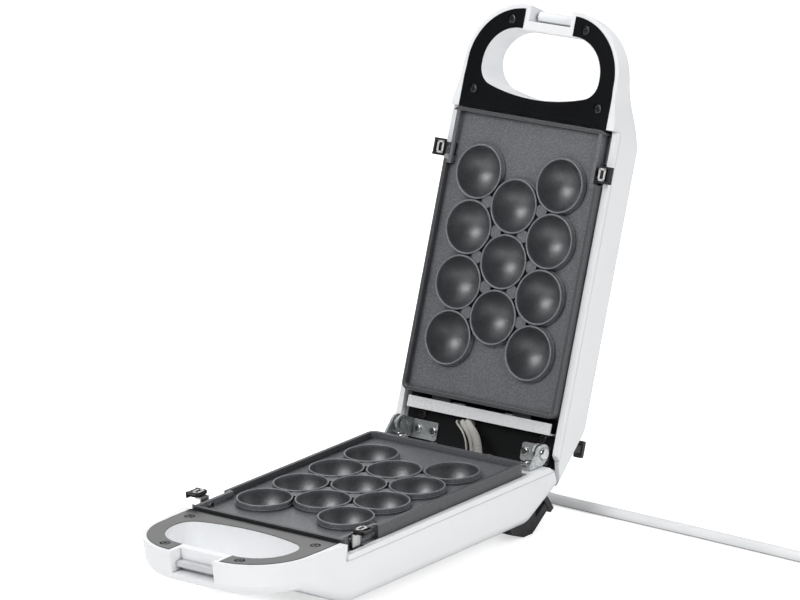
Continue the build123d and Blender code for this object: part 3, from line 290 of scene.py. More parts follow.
def ringed_tree():
    """Rings along a path on a round core, both shrinking evenly towards the path's end."""
    tree = bpy.data.node_groups.new("rings along a path", "GeometryNodeTree")
    socket_in(tree, "Path", "NodeSocketGeometry")
    socket_in(tree, "Core Radius", "NodeSocketFloat", 0.003)
    socket_in(tree, "Ring Thickness", "NodeSocketFloat", 0.0004)
    socket_in(tree, "Ring Spacing", "NodeSocketFloat", 0.001)
    socket_in(tree, "End Share", "NodeSocketFloat", 1.0)
    socket_in(tree, "Finish", "NodeSocketMaterial")
    tree.interface.new_socket(name="Mesh", in_out="OUTPUT", socket_type="NodeSocketGeometry")
    nodes, links = tree.nodes, tree.links
    given = nodes.new("NodeGroupInput").outputs
    along = nodes.new("GeometryNodeSplineParameter").outputs["Factor"]
    shrink = nodes.new("ShaderNodeMapRange")
    links.new(along, shrink.inputs["Value"])
    shrink.inputs["To Min"].default_value = 1
    links.new(given["End Share"], shrink.inputs["To Max"])
    even = nodes.new("GeometryNodeResampleCurve")
    even.mode = "COUNT"
    even.inputs["Count"].default_value = 40
    links.new(given["Path"], even.inputs["Curve"])
    keep = nodes.new("GeometryNodeCaptureAttribute")
    keep.capture_items.new("FLOAT", "share")
    links.new(even.outputs["Curve"], keep.inputs["Geometry"])
    links.new(shrink.outputs["Result"], keep.inputs["share"])
    core_section = nodes.new("GeometryNodeCurvePrimitiveCircle")
    core_section.inputs["Resolution"].default_value = 24
    links.new(given["Core Radius"], core_section.inputs["Radius"])
    core = nodes.new("GeometryNodeCurveToMesh")
    core.inputs["Fill Caps"].default_value = True
    links.new(keep.outputs["Geometry"], core.inputs["Curve"])
    links.new(core_section.outputs["Curve"], core.inputs["Profile Curve"])
    links.new(keep.outputs["share"], core.inputs["Scale"])
    thread_section = nodes.new("GeometryNodeCurvePrimitiveCircle")
    thread_section.inputs["Resolution"].default_value = 8
    links.new(given["Ring Thickness"], thread_section.inputs["Radius"])
    ring = nodes.new("GeometryNodeCurveToMesh")
    links.new(core_section.outputs["Curve"], ring.inputs["Curve"])
    links.new(thread_section.outputs["Curve"], ring.inputs["Profile Curve"])
    places = nodes.new("GeometryNodeCurveToPoints")
    places.mode = "LENGTH"
    links.new(keep.outputs["Geometry"], places.inputs["Curve"])
    links.new(given["Ring Spacing"], places.inputs["Length"])
    facing = nodes.new("FunctionNodeAlignRotationToVector")
    facing.axis = "Z"
    links.new(places.outputs["Tangent"], facing.inputs["Vector"])
    copies = nodes.new("GeometryNodeInstanceOnPoints")
    links.new(places.outputs["Points"], copies.inputs["Points"])
    links.new(ring.outputs["Mesh"], copies.inputs["Instance"])
    links.new(facing.outputs["Rotation"], copies.inputs["Rotation"])
    links.new(keep.outputs["share"], copies.inputs["Scale"])
    joined = nodes.new("GeometryNodeJoinGeometry")
    links.new(core.outputs["Mesh"], joined.inputs["Geometry"])
    links.new(copies.outputs["Instances"], joined.inputs["Geometry"])
    real = nodes.new("GeometryNodeRealizeInstances")
    links.new(joined.outputs["Geometry"], real.inputs["Geometry"])
    smooth = nodes.new("GeometryNodeSetShadeSmooth")
    links.new(real.outputs["Geometry"], smooth.inputs["Geometry"])
    coated = nodes.new("GeometryNodeSetMaterial")
    links.new(smooth.outputs["Geometry"], coated.inputs["Geometry"])
    links.new(given["Finish"], coated.inputs["Material"])
    links.new(coated.outputs["Geometry"], nodes.new("NodeGroupOutput").inputs["Mesh"])
    return tree


rings_along = ringed_tree()


def ringed_piece(name, points, material, **sizes):
    """A plain mesh of rings along the smooth line of the points, given in metres."""
    carrier = add_piece(name + "_line", smooth_line(name + "_line", points, fineness=12))
    modifier = carrier.modifiers.new("rings", "NODES")
    modifier.node_group = rings_along
    values = {"Finish": material, **sizes}
    for item in rings_along.interface.items_tree:
        if item.in_out == "INPUT" and item.name in values:
            modifier[item.identifier] = values[item.name]
    evaluated = carrier.evaluated_get(bpy.context.evaluated_depsgraph_get())
    mesh = bpy.data.meshes.new_from_object(evaluated)
    bpy.data.objects.remove(carrier)
    return add_piece(name, mesh)


relief_line = [
    Vector(place) * mm + base_plate_middle
    for place in ((relief_x, 119, relief_z), (relief_x, 139, relief_z), (-9, 145.75, -38.25))
]
strain_relief = ringed_piece(
    "strain_relief",
    relief_line,
    cord_white,
    **{
        "Core Radius": 5.0 * mm,
        "Ring Thickness": 0.6 * mm,
        "Ring Spacing": 2.4 * mm,
        "End Share": 0.82,
    },
)
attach(strain_relief, "base")
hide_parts("cord_relief")

# the strap round the coil, flat where it lies on the table
strap_half_width = 3.0
strap_reach = 8.4
strap_top = 7.4
strap_thickness = 1.1
strap_middle = 3.2
strap_angle = math.radians(200)
strap_steps = 40
strap_black = plastic(
    "strap_black",
    (0.012, 0.012, 0.013),
    (0.02, 0.02, 0.022),
    smooth=0.4,
    rough=0.5,
    grain_size=0.5,
    grain_depth=0.02,
)
strap_mesh = bpy.data.meshes.new("coil_strap")
strap_form = bmesh.new()
strap_out = Vector((math.cos(strap_angle), math.sin(strap_angle), 0))
strap_along = Vector((-strap_out.y, strap_out.x, 0))
coil_middle = Vector((coil_x, coil_y, floor_line))
loops = []
for reach, along in (
    (0, -strap_half_width),
    (strap_thickness, -strap_half_width),
    (strap_thickness, strap_half_width),
    (0, strap_half_width),
):
    loop = []
    for step in range(strap_steps):
        turn = 2 * math.pi * step / strap_steps
        outward = (top_turn + (strap_reach + reach) * math.cos(turn)) * strap_out
        height = max(strap_middle + (strap_top + reach) * math.sin(turn), -cord_radius)
        place = coil_middle + outward + along * strap_along + Vector((0, 0, height))
        loop.append(strap_form.verts.new(place * mm + base_plate_middle))
    loops.append(loop)
for inner, outer in zip(loops, loops[1:] + loops[:1]):
    for step in range(strap_steps):
        after = (step + 1) % strap_steps
        strap_form.faces.new((inner[step], inner[after], outer[after], outer[step]))
bmesh.ops.recalc_face_normals(strap_form, faces=strap_form.faces)
strap_form.to_mesh(strap_mesh)
strap_mesh.materials.append(strap_black)
coil_strap = add_piece("coil_strap", strap_mesh)
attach(coil_strap, "base")

# ---------------------------------------------------------------- feet and cord hooks
# Black rubber boots carry the rear of the base and run on into hooks that the cord is wound on.
# The lid has two T-shaped hooks of black plastic to match, and plain round feet stand in front.
rubber = plastic(
    "rubber",
    (0.012, 0.012, 0.013),
    (0.024, 0.024, 0.026),
    smooth=0.42,
    rough=0.6,
    grain_size=0.7,
    grain_depth=0.03,
)
coat(rubber, "rear_foot_left", "rear_foot_right", "front_feet")
hook_black = plastic(
    "hook_black",
    (0.01, 0.01, 0.011),
    (0.02, 0.02, 0.022),
    smooth=0.3,
    rough=0.45,
    grain_size=0.5,
    grain_depth=0.015,
)
coat(hook_black, "lid_hook_left", "lid_hook_right")

# ---------------------------------------------------------------- cooking plates
# Each plate is cast aluminium with eleven half-ball cups, turned out and then sprayed with a dark
# grey non-stick coating.  Its flecks catch the light, and rings left by turning show in the cups.
row_pitch = 36.0 * mm
column_pitch = 31.84 * mm
cup_radius = 16.6 * mm
ridge_width = 1.6 * mm
plate_rim_x = 58.0 * mm
plate_rim_y = 90.2 * mm
plate_rim_shift = 0.5 * mm
rim_darkening_share = 0.7
# reach of the painted shade in the plate's corners
painted_corner_shade_reach = 5 * mm
# width and lightness of edges and ridge tops, part worn-through metal and part painted highlight
worn_lit_edge_reach = 0.3 * mm
edge_wear_and_highlight = 0.42
ridge_wear_and_highlight = 0.1
spray_depth = 0.03 * mm
turning_ring_depth = 0.1 * mm
lid_open_angle = math.radians(109.3)
hinge_place = Vector((0, 75.516, 51.3)) * mm
lid_turn = Matrix.Rotation(-lid_open_angle, 4, "X")
lid_closed_to_open = Matrix.Translation(hinge_place) @ lid_turn @ Matrix.Translation(-hinge_place)


def arithmetic(tree, kind, first, second=0.0, third=0.0):
    """One step of arithmetic on numbers or sockets."""
    node = tree.nodes.new("ShaderNodeMath")
    node.operation = kind
    for socket, value in zip(node.inputs, (first, second, third)):
        if isinstance(value, (int, float)):
            socket.default_value = value
        else:
            tree.links.new(value, socket)
    return node.outputs["Value"]


def plate_axes(tree, coordinates, middle, turn):
    """Where a point lies across, along and off a plate whose middle and turn are given."""
    shift = tree.nodes.new("ShaderNodeVectorMath")
    shift.operation = "SUBTRACT"
    tree.links.new(coordinates, shift.inputs[0])
    shift.inputs[1].default_value = middle
    level = tree.nodes.new("ShaderNodeMapping")
    level.inputs["Rotation"].default_value = (turn, 0, 0)
    tree.links.new(shift.outputs["Vector"], level.inputs["Vector"])
    parts = tree.nodes.new("ShaderNodeSeparateXYZ")
    tree.links.new(level.outputs["Vector"], parts.inputs["Vector"])
    return parts.outputs["X"], parts.outputs["Y"], parts.outputs["Z"]


def cup_distance(tree, across, along, outside):
    """Distance to the axis of the nearest cup of a column; far off where outside is 1."""
    row = arithmetic(tree, "ROUND", arithmetic(tree, "DIVIDE", along, row_pitch))
    beside = arithmetic(tree, "MULTIPLY_ADD", row, -row_pitch, along)
    square = arithmetic(tree, "MULTIPLY", across, across)
    distance = arithmetic(tree, "SQRT", arithmetic(tree, "MULTIPLY_ADD", beside, beside, square))
    return arithmetic(tree, "ADD", distance, outside)


def sharp_edges(tree, reach):
    """A share that is 1 along edges that stand proud or lie sunk, from the softened normal."""
    soft = tree.nodes.new("ShaderNodeBevel")
    soft.samples = 6
    soft.inputs["Radius"].default_value = reach
    compare = tree.nodes.new("ShaderNodeVectorMath")
    compare.operation = "DOT_PRODUCT"
    tree.links.new(soft.outputs["Normal"], compare.inputs[0])
    tree.links.new(tree.nodes.new("ShaderNodeNewGeometry").outputs["Normal"], compare.inputs[1])
    return between(tree, compare.outputs["Value"], 1, 0, start=0.8, end=0.98)


def set_inputs(material, values):
    """Sets numbers and colours that are the same all over a material."""
    shader = material.node_tree.nodes["Principled BSDF"]
    for name, value in values.items():
        shader.inputs[name].default_value = value


def non_stick(name, middle, turn):
    """The coating of one plate; middle and turn say where the plate's own axes are."""
    material, tree, shader = finish(name)
    coordinates = tree.nodes.new("ShaderNodeTexCoord").outputs["Object"]
    x, y, z = plate_axes(tree, coordinates, middle, turn)
    aside = arithmetic(tree, "ABSOLUTE", x)
    ahead = arithmetic(tree, "ABSOLUTE", y)
    depth = arithmetic(tree, "ABSOLUTE", z)
    # four cups stand in each side column, and three between them in the middle one
    beside = arithmetic(tree, "SUBTRACT", aside, column_pitch)
    staggered = arithmetic(tree, "ADD", y, row_pitch / 2)
    past_side = arithmetic(tree, "GREATER_THAN", ahead, 2 * row_pitch)
    side_away = cup_distance(tree, beside, staggered, past_side)
    past_middle = arithmetic(tree, "GREATER_THAN", ahead, 1.5 * row_pitch)
    middle_away = cup_distance(tree, x, y, past_middle)
    away = arithmetic(tree, "MINIMUM", side_away, middle_away)
    swing = arithmetic(tree, "ARCTAN2", away, depth)
    in_cup = between(tree, away, 1, 0, start=cup_radius - 0.2 * mm, end=cup_radius + 0.1 * mm)
    near_cup = arithmetic(tree, "LESS_THAN", away, cup_radius + ridge_width)
    high = between(tree, depth, 1, 0, start=0.3 * mm, end=0.8 * mm)
    ridge_top = arithmetic(tree, "MULTIPLY", near_cup, high)
    rings = tree.nodes.new("ShaderNodeTexNoise")
    rings.noise_dimensions = "1D"
    rings.inputs["Scale"].default_value = 26
    rings.inputs["Detail"].default_value = 4
    tree.links.new(swing, rings.inputs["W"])
    ring_share = arithmetic(tree, "MULTIPLY", rings.outputs["Fac"], in_cup)
    # flecks of two sizes in the sprayed coat
    fine = noise(tree, 1900, detail=1, source=coordinates)
    coarse = noise(tree, 1000, detail=1, source=coordinates)
    spray = arithmetic(tree, "ADD", fine, coarse)
    flecks = between(tree, spray, 0, 1, start=0.96, end=1.16)
    drift = between(tree, noise(tree, 40, detail=3, source=coordinates), 0, 1)
    open_ground = blend_colours(tree, drift, (0.088, 0.093, 0.102), (0.096, 0.101, 0.112))
    # the cups get a near-black ground and fewer flecks: painted shade in the hollows
    ground_with_painted_cup_shade = blend_colours(tree, in_cup, open_ground, (0.006, 0.007, 0.009))
    painted_cup_shade_fade = between(tree, in_cup, 1, 0.25, start=0, end=1)
    fleck_share = arithmetic(tree, "MULTIPLY", flecks, painted_cup_shade_fade)
    colour = blend_colours(tree, fleck_share, ground_with_painted_cup_shade, (0.16, 0.166, 0.178))
    # a darker rim, painted shade in corners, light edges: part bare metal, part painted highlight
    # the rim is made darker than the floor
    shifted = arithmetic(tree, "ABSOLUTE", arithmetic(tree, "ADD", y, plate_rim_shift))
    rim = arithmetic(
        tree,
        "MAXIMUM",
        arithmetic(tree, "GREATER_THAN", aside, plate_rim_x),
        arithmetic(tree, "GREATER_THAN", shifted, plate_rim_y),
    )
    rim_share = arithmetic(tree, "MULTIPLY", rim, rim_darkening_share)
    rimmed = blend_colours(tree, rim_share, colour, (0.02, 0.021, 0.024))
    # painted shade darkens the coat in corners and gaps
    shaded = painted_gap_shade(tree, rimmed, (0.004, 0.004, 0.005), painted_corner_shade_reach)
    # ridge tops and sharp edges go light grey: partly worn-through metal, partly painted highlight
    worn_lit_ridge = arithmetic(tree, "MULTIPLY", ridge_top, ridge_wear_and_highlight)
    worn_lit_edge = arithmetic(tree, "MULTIPLY", sharp_edges(tree, worn_lit_edge_reach), edge_wear_and_highlight)
    worn_and_lit = arithmetic(tree, "MAXIMUM", worn_lit_ridge, worn_lit_edge)
    worn_and_lit_colour = blend_colours(tree, worn_and_lit, shaded, (0.5, 0.51, 0.53))
    tree.links.new(worn_and_lit_colour, shader.inputs["Base Color"])
    coat_gloss = between(tree, noise(tree, 300, detail=1, source=coordinates), 0.42, 0.46)
    cup_gloss = arithmetic(tree, "MULTIPLY_ADD", in_cup, 0.02, coat_gloss)
    gloss = arithmetic(tree, "MULTIPLY_ADD", ring_share, 0.12, cup_gloss)
    tree.links.new(gloss, shader.inputs["Roughness"])
    grain = relief(tree, shader, spray, spray_depth)
    relief(tree, shader, ring_share, turning_ring_depth, grain)
    tree.links.new(in_cup, shader.inputs["Coat Weight"])
    set_inputs(
        material,
        {
            "Specular IOR Level": 1.0,
            "Coat Roughness": 0.47,
            "Coat IOR": 2.3,
            "Coat Tint": (0.88, 0.94, 1.0, 1),
        },
    )
    return material


lid_plate_middle = lid_closed_to_open @ base_plate_middle
coat(non_stick("base_non_stick", base_plate_middle, 0), "base_plate")
coat(non_stick("lid_non_stick", lid_plate_middle, lid_open_angle), "lid_plate")

# ---------------------------------------------------------------- shells
# The base and the lid are deep shells moulded in glossy white plastic, each with its looped
# handle at the front.  A band stands out all along the rim, with a painted shadow line under it.
band_start_y = -94 * mm
# width of the band's step and of its painted shadow line, the step's height, and how dark that
# line is
band_line = 0.9 * mm
band_height = 0.6 * mm
band_shadow_share = 0.4


def white_shell(name, middle, turn, band_depth):
    """The plastic of one half, with a painted shadow line under its rim band, band_depth off the
    plate's face.
    """
    material = plastic(
        name,
        (0.83, 0.842, 0.86),
        (0.84, 0.852, 0.87),
        smooth=0.28,
        rough=0.3,
        grain_size=6,
        grain_depth=0.003,
    )
    set_inputs(material, {"Coat Weight": 0.2, "Coat Roughness": 0.12})
    tree = material.node_tree
    shader = tree.nodes["Principled BSDF"]
    coordinates = tree.nodes.new("ShaderNodeTexCoord").outputs["Object"]
    x, y, z = plate_axes(tree, coordinates, middle, turn)
    depth = arithmetic(tree, "ABSOLUTE", z)
    banded = arithmetic(tree, "GREATER_THAN", y, band_start_y)
    below = arithmetic(tree, "SUBTRACT", depth, band_depth)
    # a painted shadow line at the foot of the band's step
    line = between(tree, arithmetic(tree, "ABSOLUTE", below), 1, 0, start=0, end=band_line)
    step_shadow_on_band = arithmetic(tree, "MULTIPLY", line, banded)
    step_shadow_share = arithmetic(tree, "MULTIPLY", step_shadow_on_band, band_shadow_share)
    plain = shader.inputs["Base Color"].links[0].from_socket
    step_shadowed = blend_colours(tree, step_shadow_share, plain, (0.42, 0.43, 0.46))
    tree.links.new(step_shadowed, shader.inputs["Base Color"])
    step_down = between(tree, below, 1, 0, start=-0.5 * band_line, end=0.5 * band_line)
    proud = arithmetic(tree, "MULTIPLY", step_down, banded)
    relief(tree, shader, proud, band_height, shader.inputs["Normal"].links[0].from_socket)
    return material


base_white = white_shell("base_white", base_plate_middle, 0, band_depth=12.5 * mm)
lid_white = white_shell("lid_white", lid_plate_middle, lid_open_angle, band_depth=10 * mm)
coat(base_white, "base_shell")
coat(lid_white, "lid_shell")

# ---------------------------------------------------------------- heating
# Under each plate lie a pressed aluminium tray, a tubular heater and a disc thermostat, and in the
# base the block where the cord ends.  All of it is bare metal or heatproof plastic.
# how dark metal goes where shade is painted into its gaps, and how far that painted shade reaches
metal_painted_shade = 0.12
metal_painted_shade_reach = 1.2 * mm
scratch_depth = 0.004 * mm


def bare_metal(name, dark, light, smooth, rough, mottle, stretch=(1, 1, 1)):
    """Metal, mottled or brushed, with painted shade in gaps; stretch lays the brushing along an
    axis.
    """
    material, tree, shader = finish(name)
    shader.inputs["Metallic"].default_value = 1
    patches = noise(tree, mottle, detail=5, stretch=stretch)
    share = between(tree, patches, 0, 1, start=0.35, end=0.65)
    colour = blend_colours(tree, share, dark, light)
    # painted shade in the metal's gaps and corners
    shade = tuple(channel * metal_painted_shade for channel in dark)
    tree.links.new(painted_gap_shade(tree, colour, shade, metal_painted_shade_reach), shader.inputs["Base Color"])
    gloss = between(tree, patches, rough, smooth, start=0.35, end=0.65)
    tree.links.new(gloss, shader.inputs["Roughness"])
    relief(tree, shader, noise(tree, 3000, stretch=stretch), scratch_depth)
    return material


sheet_aluminium = bare_metal(
    "sheet_aluminium",
    (0.6, 0.61, 0.62),
    (0.72, 0.73, 0.74),
    smooth=0.28,
    rough=0.42,
    mottle=90,
    stretch=(1, 0.08, 1),
)
heater_steel = bare_metal(
    "heater_steel", (0.12, 0.12, 0.11), (0.25, 0.24, 0.22), smooth=0.4, rough=0.6, mottle=200
)
heatproof = plastic(
    "heatproof",
    (0.62, 0.6, 0.54),
    (0.7, 0.68, 0.62),
    smooth=0.45,
    rough=0.6,
    grain_size=0.5,
    grain_depth=0.02,
)
coat(sheet_aluminium, "base_heat_tray", "lid_heat_tray")
coat(heater_steel, "base_heater", "lid_heater")
coat(heatproof, "terminal_block")

# ---------------------------------------------------------------- plate rails
# A bent strip across the rear of each half holds the plate's tabs down.  It is painted light grey
# with fine dark flecks.
rail_grain_depth = 0.03 * mm
rail_paint, rail_tree, rail_shader = finish("rail_paint")
rail_flecks = between(rail_tree, noise(rail_tree, 2200), 0, 1, start=0.34, end=0.46)
rail_colour = blend_colours(rail_tree, rail_flecks, (0.46, 0.47, 0.48), (0.76, 0.77, 0.78))
# painted shade in the rail's gaps and bends
rail_shaded = painted_gap_shade(rail_tree, rail_colour, (0.1, 0.1, 0.1))
rail_tree.links.new(rail_shaded, rail_shader.inputs["Base Color"])
rail_gloss = between(rail_tree, noise(rail_tree, 300, detail=3), 0.35, 0.5)
rail_tree.links.new(rail_gloss, rail_shader.inputs["Roughness"])
relief(rail_tree, rail_shader, noise(rail_tree, 1500), rail_grain_depth)
coat(rail_paint, "lid_plate_rail", "base_plate_rail")

# ---------------------------------------------------------------- plate clips
# At each side of a plate a thin steel catch turns on a pin and hooks its nose into the rim.  Its
# outer arm carries a black plastic finger lever, with the strip's slotted end folded over it.
spring_steel = bare_metal(
    "spring_steel",
    (0.42, 0.42, 0.42),
    (0.62, 0.62, 0.61),
    smooth=0.18,
    rough=0.34,
    mottle=260,
    stretch=(1, 1, 0.15),
)
for side in ("left", "right"):
    coat(spring_steel, f"base_clip_{side}", f"lid_clip_{side}")
lever_black = plastic(
    "lever_black",
    (0.014, 0.0145, 0.016),
    (0.024, 0.025, 0.028),
    smooth=0.32,
    rough=0.42,
    grain_size=0.5,
    grain_depth=0.02,
)
folded_steel = bare_metal(
    "folded_steel", (0.8, 0.8, 0.79), (0.92, 0.92, 0.91), smooth=0.5, rough=0.65, mottle=400
)
# sizes of a lever and of the folded end in millimetres, from the middle of the plate
lever_start_x = 61.04
lever_reach = 8.4
lever_length = 11.0
lever_height = 2.7
lever_floor = 1.2
flange = 1.5
lever_lip = 1.35
lever_edge = 0.35
fold_bar = 1.4
fold_thickness = 0.5
fold_reach = 5.2
fold_half = 4.1
base_half = Matrix.Translation(base_plate_middle)
upside_down = Matrix.Scale(-1, 4, (0, 0, 1))
lid_half = lid_closed_to_open @ Matrix.Translation(base_plate_middle) @ upside_down
# how each half stands, where its clips lie along the plate, and how high its levers start
halves = {"base": (base_half, -79.5, 1.8), "lid": (lid_half, -65.4, -1.2)}


def lever_mesh(name, turn, side, clip_y, top):
    """A finger lever: a floor between two upright flanges, a lip, and a frame of folded steel."""
    inner, outer = lever_start_x, lever_start_x + lever_reach
    front, rear = clip_y - lever_length / 2, clip_y + lever_length / 2
    high = top + lever_height
    eased = high - lever_edge
    blocks = (
        ((inner, front, top), (outer, rear, top + lever_floor)),
        ((inner, front, top), (outer, front + flange, high)),
        ((inner, rear - flange, top), (outer, rear, high)),
        ((inner, front + lever_edge, top), (inner + 2 * flange, rear - lever_edge, eased)),
        ((outer - flange, front, top - lever_lip), (outer, rear, eased)),
    )
    fold_low, fold_high = high - fold_thickness / 2, high + fold_thickness / 2
    fold_front, fold_rear = clip_y - fold_half, clip_y + fold_half
    fold_end = inner + fold_reach
    bars = (
        ((inner, fold_front, fold_low), (inner + fold_bar, fold_rear, fold_high)),
        ((fold_end - fold_bar, fold_front, fold_low), (fold_end, fold_rear, fold_high)),
        ((inner, fold_front, fold_low), (fold_end, fold_front + fold_bar, fold_high)),
        ((inner, fold_rear - fold_bar, fold_low), (fold_end, fold_rear, fold_high)),
    )
    form = bmesh.new()
    for low, far in blocks + bars:
        steel = (low, far) in bars
        size = Vector(far) - Vector(low)
        middle = (Vector(far) + Vector(low)) / 2
        place = Matrix.Translation(middle) @ Matrix.Diagonal((*size, 1))
        corners = bmesh.ops.create_cube(form, size=1, matrix=place)["verts"]
        for face in {face for corner in corners for face in corner.link_faces}:
            face.material_index = int(steel)
        bmesh.ops.bevel(
            form,
            geom=list({edge for corner in corners for edge in corner.link_edges}),
            offset=fold_thickness / 4 if steel else lever_edge,
            segments=2,
            affect="EDGES",
            profile=0.5,
            material=-1,
        )
    for point in form.verts:
        point.co = turn @ (Vector((side * point.co.x, point.co.y, point.co.z)) * mm)
    bmesh.ops.recalc_face_normals(form, faces=form.faces)
    mesh = bpy.data.meshes.new(name)
    form.to_mesh(mesh)
    mesh.materials.append(lever_black)
    mesh.materials.append(folded_steel)
    return mesh


for half, (turn, clip_y, top) in halves.items():
    for hand, side in (("left", -1), ("right", 1)):
        name = f"{half}_finger_lever_{hand}"
        finger_lever = add_piece(name, lever_mesh(name, turn, side, clip_y, top))
        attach(finger_lever, f"{half}_clip_{hand}_catch")
        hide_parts(f"{half}_clip_lever_{hand}")

# ---------------------------------------------------------------- handle trim
# A ring of near-black glossy plastic lies round each hand hole, open in front for the latch, and
# is held by four black pan-head screws in counterbored holes.
trim_black = plastic(
    "trim_black",
    (0.003, 0.0035, 0.0045),
    (0.005, 0.0055, 0.0065),
    smooth=0.28,
    rough=0.32,
    grain_size=2,
    grain_depth=0.003,
)
set_inputs(
    trim_black,
    {"Specular IOR Level": 0.1, "Coat Weight": 1.0, "Coat Roughness": 0.2, "Coat IOR": 1.5},
)
coat(trim_black, "base_handle_trim", "lid_handle_trim")
screw_black = bare_metal(
    "screw_black", (0.07, 0.07, 0.075), (0.16, 0.16, 0.165), smooth=0.24, rough=0.36, mottle=500
)
coat(screw_black, "base_trim_screws", "lid_trim_screws")

# ---------------------------------------------------------------- latch
# A white plastic clip turns on a pin across the lid's handle and hooks under a keeper in the base,
# coloured grey as painted shade for the undercut.  With the lid open it lies folded back behind
# the handle.
# the keeper is coloured grey as painted shade, standing for the shadow in the notch's undercut
keeper_shade_grey = plastic(
    "keeper_shade_grey",
    (0.55, 0.56, 0.57),
    (0.6, 0.61, 0.62),
    smooth=0.35,
    rough=0.5,
    grain_size=0.8,
    grain_depth=0.01,
)
coat(keeper_shade_grey, "latch_keeper")
coat(lid_white, "latch_clip")

# ---------------------------------------------------------------- hinge
# Brackets of zinc-plated steel are screwed to both halves.  Their ears stand side by side with a
# bush between them, on polished rivets with domed heads.
zinc = bare_metal(
    "zinc", (0.52, 0.55, 0.56), (0.76, 0.79, 0.79), smooth=0.34, rough=0.5, mottle=700
)
bright_steel = bare_metal(
    "bright_steel", (0.66, 0.66, 0.66), (0.82, 0.82, 0.81), smooth=0.12, rough=0.24, mottle=400
)
screw_steel = bare_metal(
    "screw_steel", (0.7, 0.71, 0.71), (0.88, 0.88, 0.87), smooth=0.16, rough=0.28, mottle=500
)
for side in ("left", "right"):
    coat(zinc, f"base_hinge_bracket_{side}", f"lid_hinge_bracket_{side}", f"hinge_spacer_{side}")
    coat(bright_steel, f"hinge_rivet_{side}")
for half in halves:
    coat(screw_steel, f"{half}_bracket_screws", f"{half}_rail_screws")
    coat(zinc, f"{half}_tray_screws", f"{half}_thermostat")
    coat(bright_steel, f"{half}_clip_pins")
coat(bright_steel, "latch_pin")

# ---------------------------------------------------------------- wires between the halves
# The lid's wires cross to the base beside the hinge in two sleeves of braided glass yarn, with one
# thin white wire beside them.
braid = plastic(
    "glass_braid",
    (0.3, 0.295, 0.28),
    (0.52, 0.51, 0.48),
    smooth=0.5,
    rough=0.7,
    grain_size=0.25,
    grain_depth=0.08,
)
deck_end = Vector((8, 72.1, 43.9)) * mm
deck_rise = Vector((8, 72.1, 54)) * mm
panel_rise = Vector((-10.5, 83.3, 58.8)) * mm
panel_end = Vector((-10.5, 90.4, 55.3)) * mm
# place across, radius of the wire, and radius and spacing of the yarn, in millimetres
for name, aside, width, thread, spacing in (
    ("wire_braid_left", -2.6, 1.6, 0.3, 0.62),
    ("wire_braid_right", 1.6, 2.4, 0.36, 0.72),
    ("thin_wire", -7.5, 0.6, 0.08, 0.5),
):
    step_aside = Vector((aside, 0, 0)) * mm
    wire = ringed_piece(
        name,
        [place + step_aside for place in (deck_end, deck_rise, panel_rise, panel_end)],
        braid,
        **{"Core Radius": width * mm, "Ring Thickness": thread * mm, "Ring Spacing": spacing * mm},
    )
    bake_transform(wire)
    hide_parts("wire_sleeve")

# ---------------------------------------------------------------- rear panel
# A flat cover of black heatproof plastic closes the rear of the lid, and the brackets and the rail
# are screwed to the lid through it.
panel_black = plastic(
    "panel_black",
    (0.006, 0.0065, 0.007),
    (0.01, 0.0105, 0.0115),
    smooth=0.34,
    rough=0.42,
    grain_size=1.5,
    grain_depth=0.006,
)
set_inputs(panel_black, {"Specular IOR Level": 0.2})
coat(panel_black, "lid_rear_panel")
coat(screw_black, "panel_screws")

# ---------------------------------------------------------------- lamps and plug
# Two small lamps with glossy lenses show through the top of the lid, and the plug's blades are
# plain brass.
for lamp, dark, light in (
    ("power_lamp", (0.4, 0.02, 0.015), (0.5, 0.03, 0.02)),
    ("ready_lamp", (0.04, 0.3, 0.06), (0.05, 0.38, 0.08)),
):
    lens = plastic(
        lamp + "_lens", dark, light, smooth=0.08, rough=0.14, grain_size=2.0, grain_depth=0.002
    )
    coat(lens, lamp)
brass = bare_metal(
    "brass",
    (0.58, 0.42, 0.16),
    (0.7, 0.54, 0.24),
    smooth=0.18,
    rough=0.32,
    mottle=300,
    stretch=(1, 1, 0.2),
)
coat(brass, "plug_blades")

# ---------------------------------------------------------------- table and room
# The appliance stands on a plain white table.  Two soft lamps hang before and over it, a third
# fills in from the right without showing in shiny parts, and the room round it is pale and even.
table_glow = 0.58
room_glow = 0.66


def area_lamp(name, place, target, size, power):
    """A soft rectangular lamp aimed at a point, in metres and watts."""
    data = bpy.data.lights.new(name, "AREA")
    data.shape = "RECTANGLE"
    data.size, data.size_y = size
    data.energy = power
    lamp = add_piece(name, data)
    lamp.location = place
    lamp.rotation_euler = (Vector(target) - Vector(place)).to_track_quat("-Z", "Y").to_euler()
    return lamp


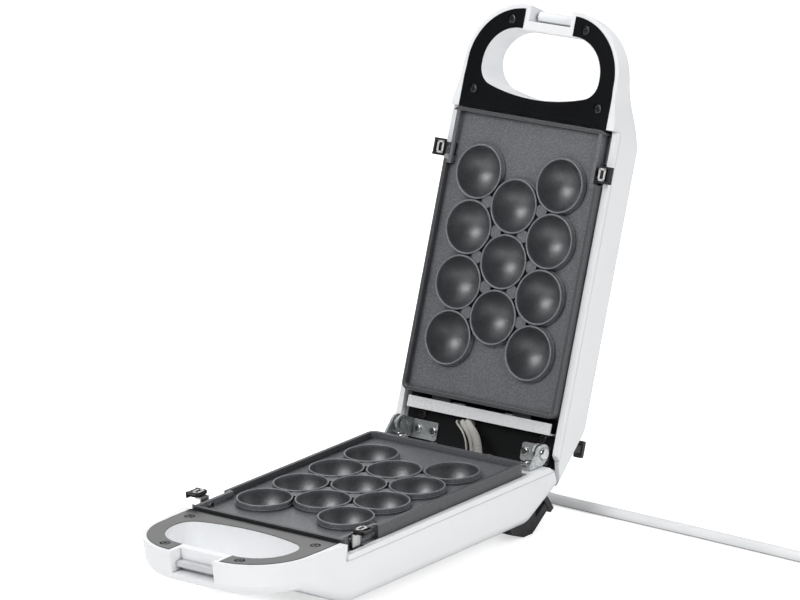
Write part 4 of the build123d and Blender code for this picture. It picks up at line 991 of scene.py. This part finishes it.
area_lamp("key_lamp", (-0.22, -1.3, 1.3), target=(0, 0, 0.1), size=(0.8, 0.8), power=14)
area_lamp("top_lamp", (-0.5, 0.1, 1.8), target=(0, 0.05, 0.1), size=(1.2, 1.2), power=8)
side_lamp = area_lamp(
    "side_lamp", (1.6, -0.4, 0.9), target=(0, 0, 0.12), size=(0.6, 1.0), power=9.5
)
side_lamp.visible_glossy = False

bpy.ops.mesh.primitive_plane_add(size=12, location=(0, 0, 0))
table = bpy.context.object
table.name = "table"
table_white, table_tree, table_shader = finish("table_white")
set_inputs(table_white, {"Base Color": (0.9, 0.9, 0.9, 1), "Roughness": 0.7})
seen = table_tree.nodes.new("ShaderNodeLightPath").outputs["Is Camera Ray"]
glow = table_tree.nodes.new("ShaderNodeEmission")
glow_strength = arithmetic(table_tree, "MULTIPLY", seen, table_glow)
table_tree.links.new(glow_strength, glow.inputs["Strength"])
both = table_tree.nodes.new("ShaderNodeAddShader")
table_tree.links.new(table_shader.outputs["BSDF"], both.inputs[0])
table_tree.links.new(glow.outputs["Emission"], both.inputs[1])
table_end = table_tree.nodes["Material Output"].inputs["Surface"]
table_tree.links.new(both.outputs["Shader"], table_end)
table.data.materials.append(table_white)

world = bpy.data.worlds.new("room")
world.use_nodes = True
bpy.context.scene.world = world
room = world.node_tree
background = room.nodes["Background"]
direction = room.nodes.new("ShaderNodeTexCoord").outputs["Generated"]
split = room.nodes.new("ShaderNodeSeparateXYZ")
room.links.new(direction, split.inputs["Vector"])
# what falls on the appliance, what shows in shiny parts, and what is seen behind it
front_to_back = between(room, split.outputs["Y"], 0.5, 1.0, start=-0.6, end=0.4)
light_level = arithmetic(room, "MULTIPLY", front_to_back, room_glow)
mirrored = between(room, split.outputs["Y"], 0.02, 1.0, start=0.1, end=0.75)
mirror_change = arithmetic(room, "SUBTRACT", mirrored, light_level)
rays = room.nodes.new("ShaderNodeLightPath").outputs
lit_level = arithmetic(room, "MULTIPLY_ADD", mirror_change, rays["Is Glossy Ray"], light_level)
clear_level = arithmetic(room, "MAXIMUM", rays["Is Camera Ray"], rays["Is Transmission Ray"])
seen_level = arithmetic(room, "MAXIMUM", lit_level, clear_level)
room.links.new(seen_level, background.inputs["Strength"])
background.inputs["Color"].default_value = (1, 1, 1, 1)
bpy.context.scene.view_settings.view_transform = "Standard"
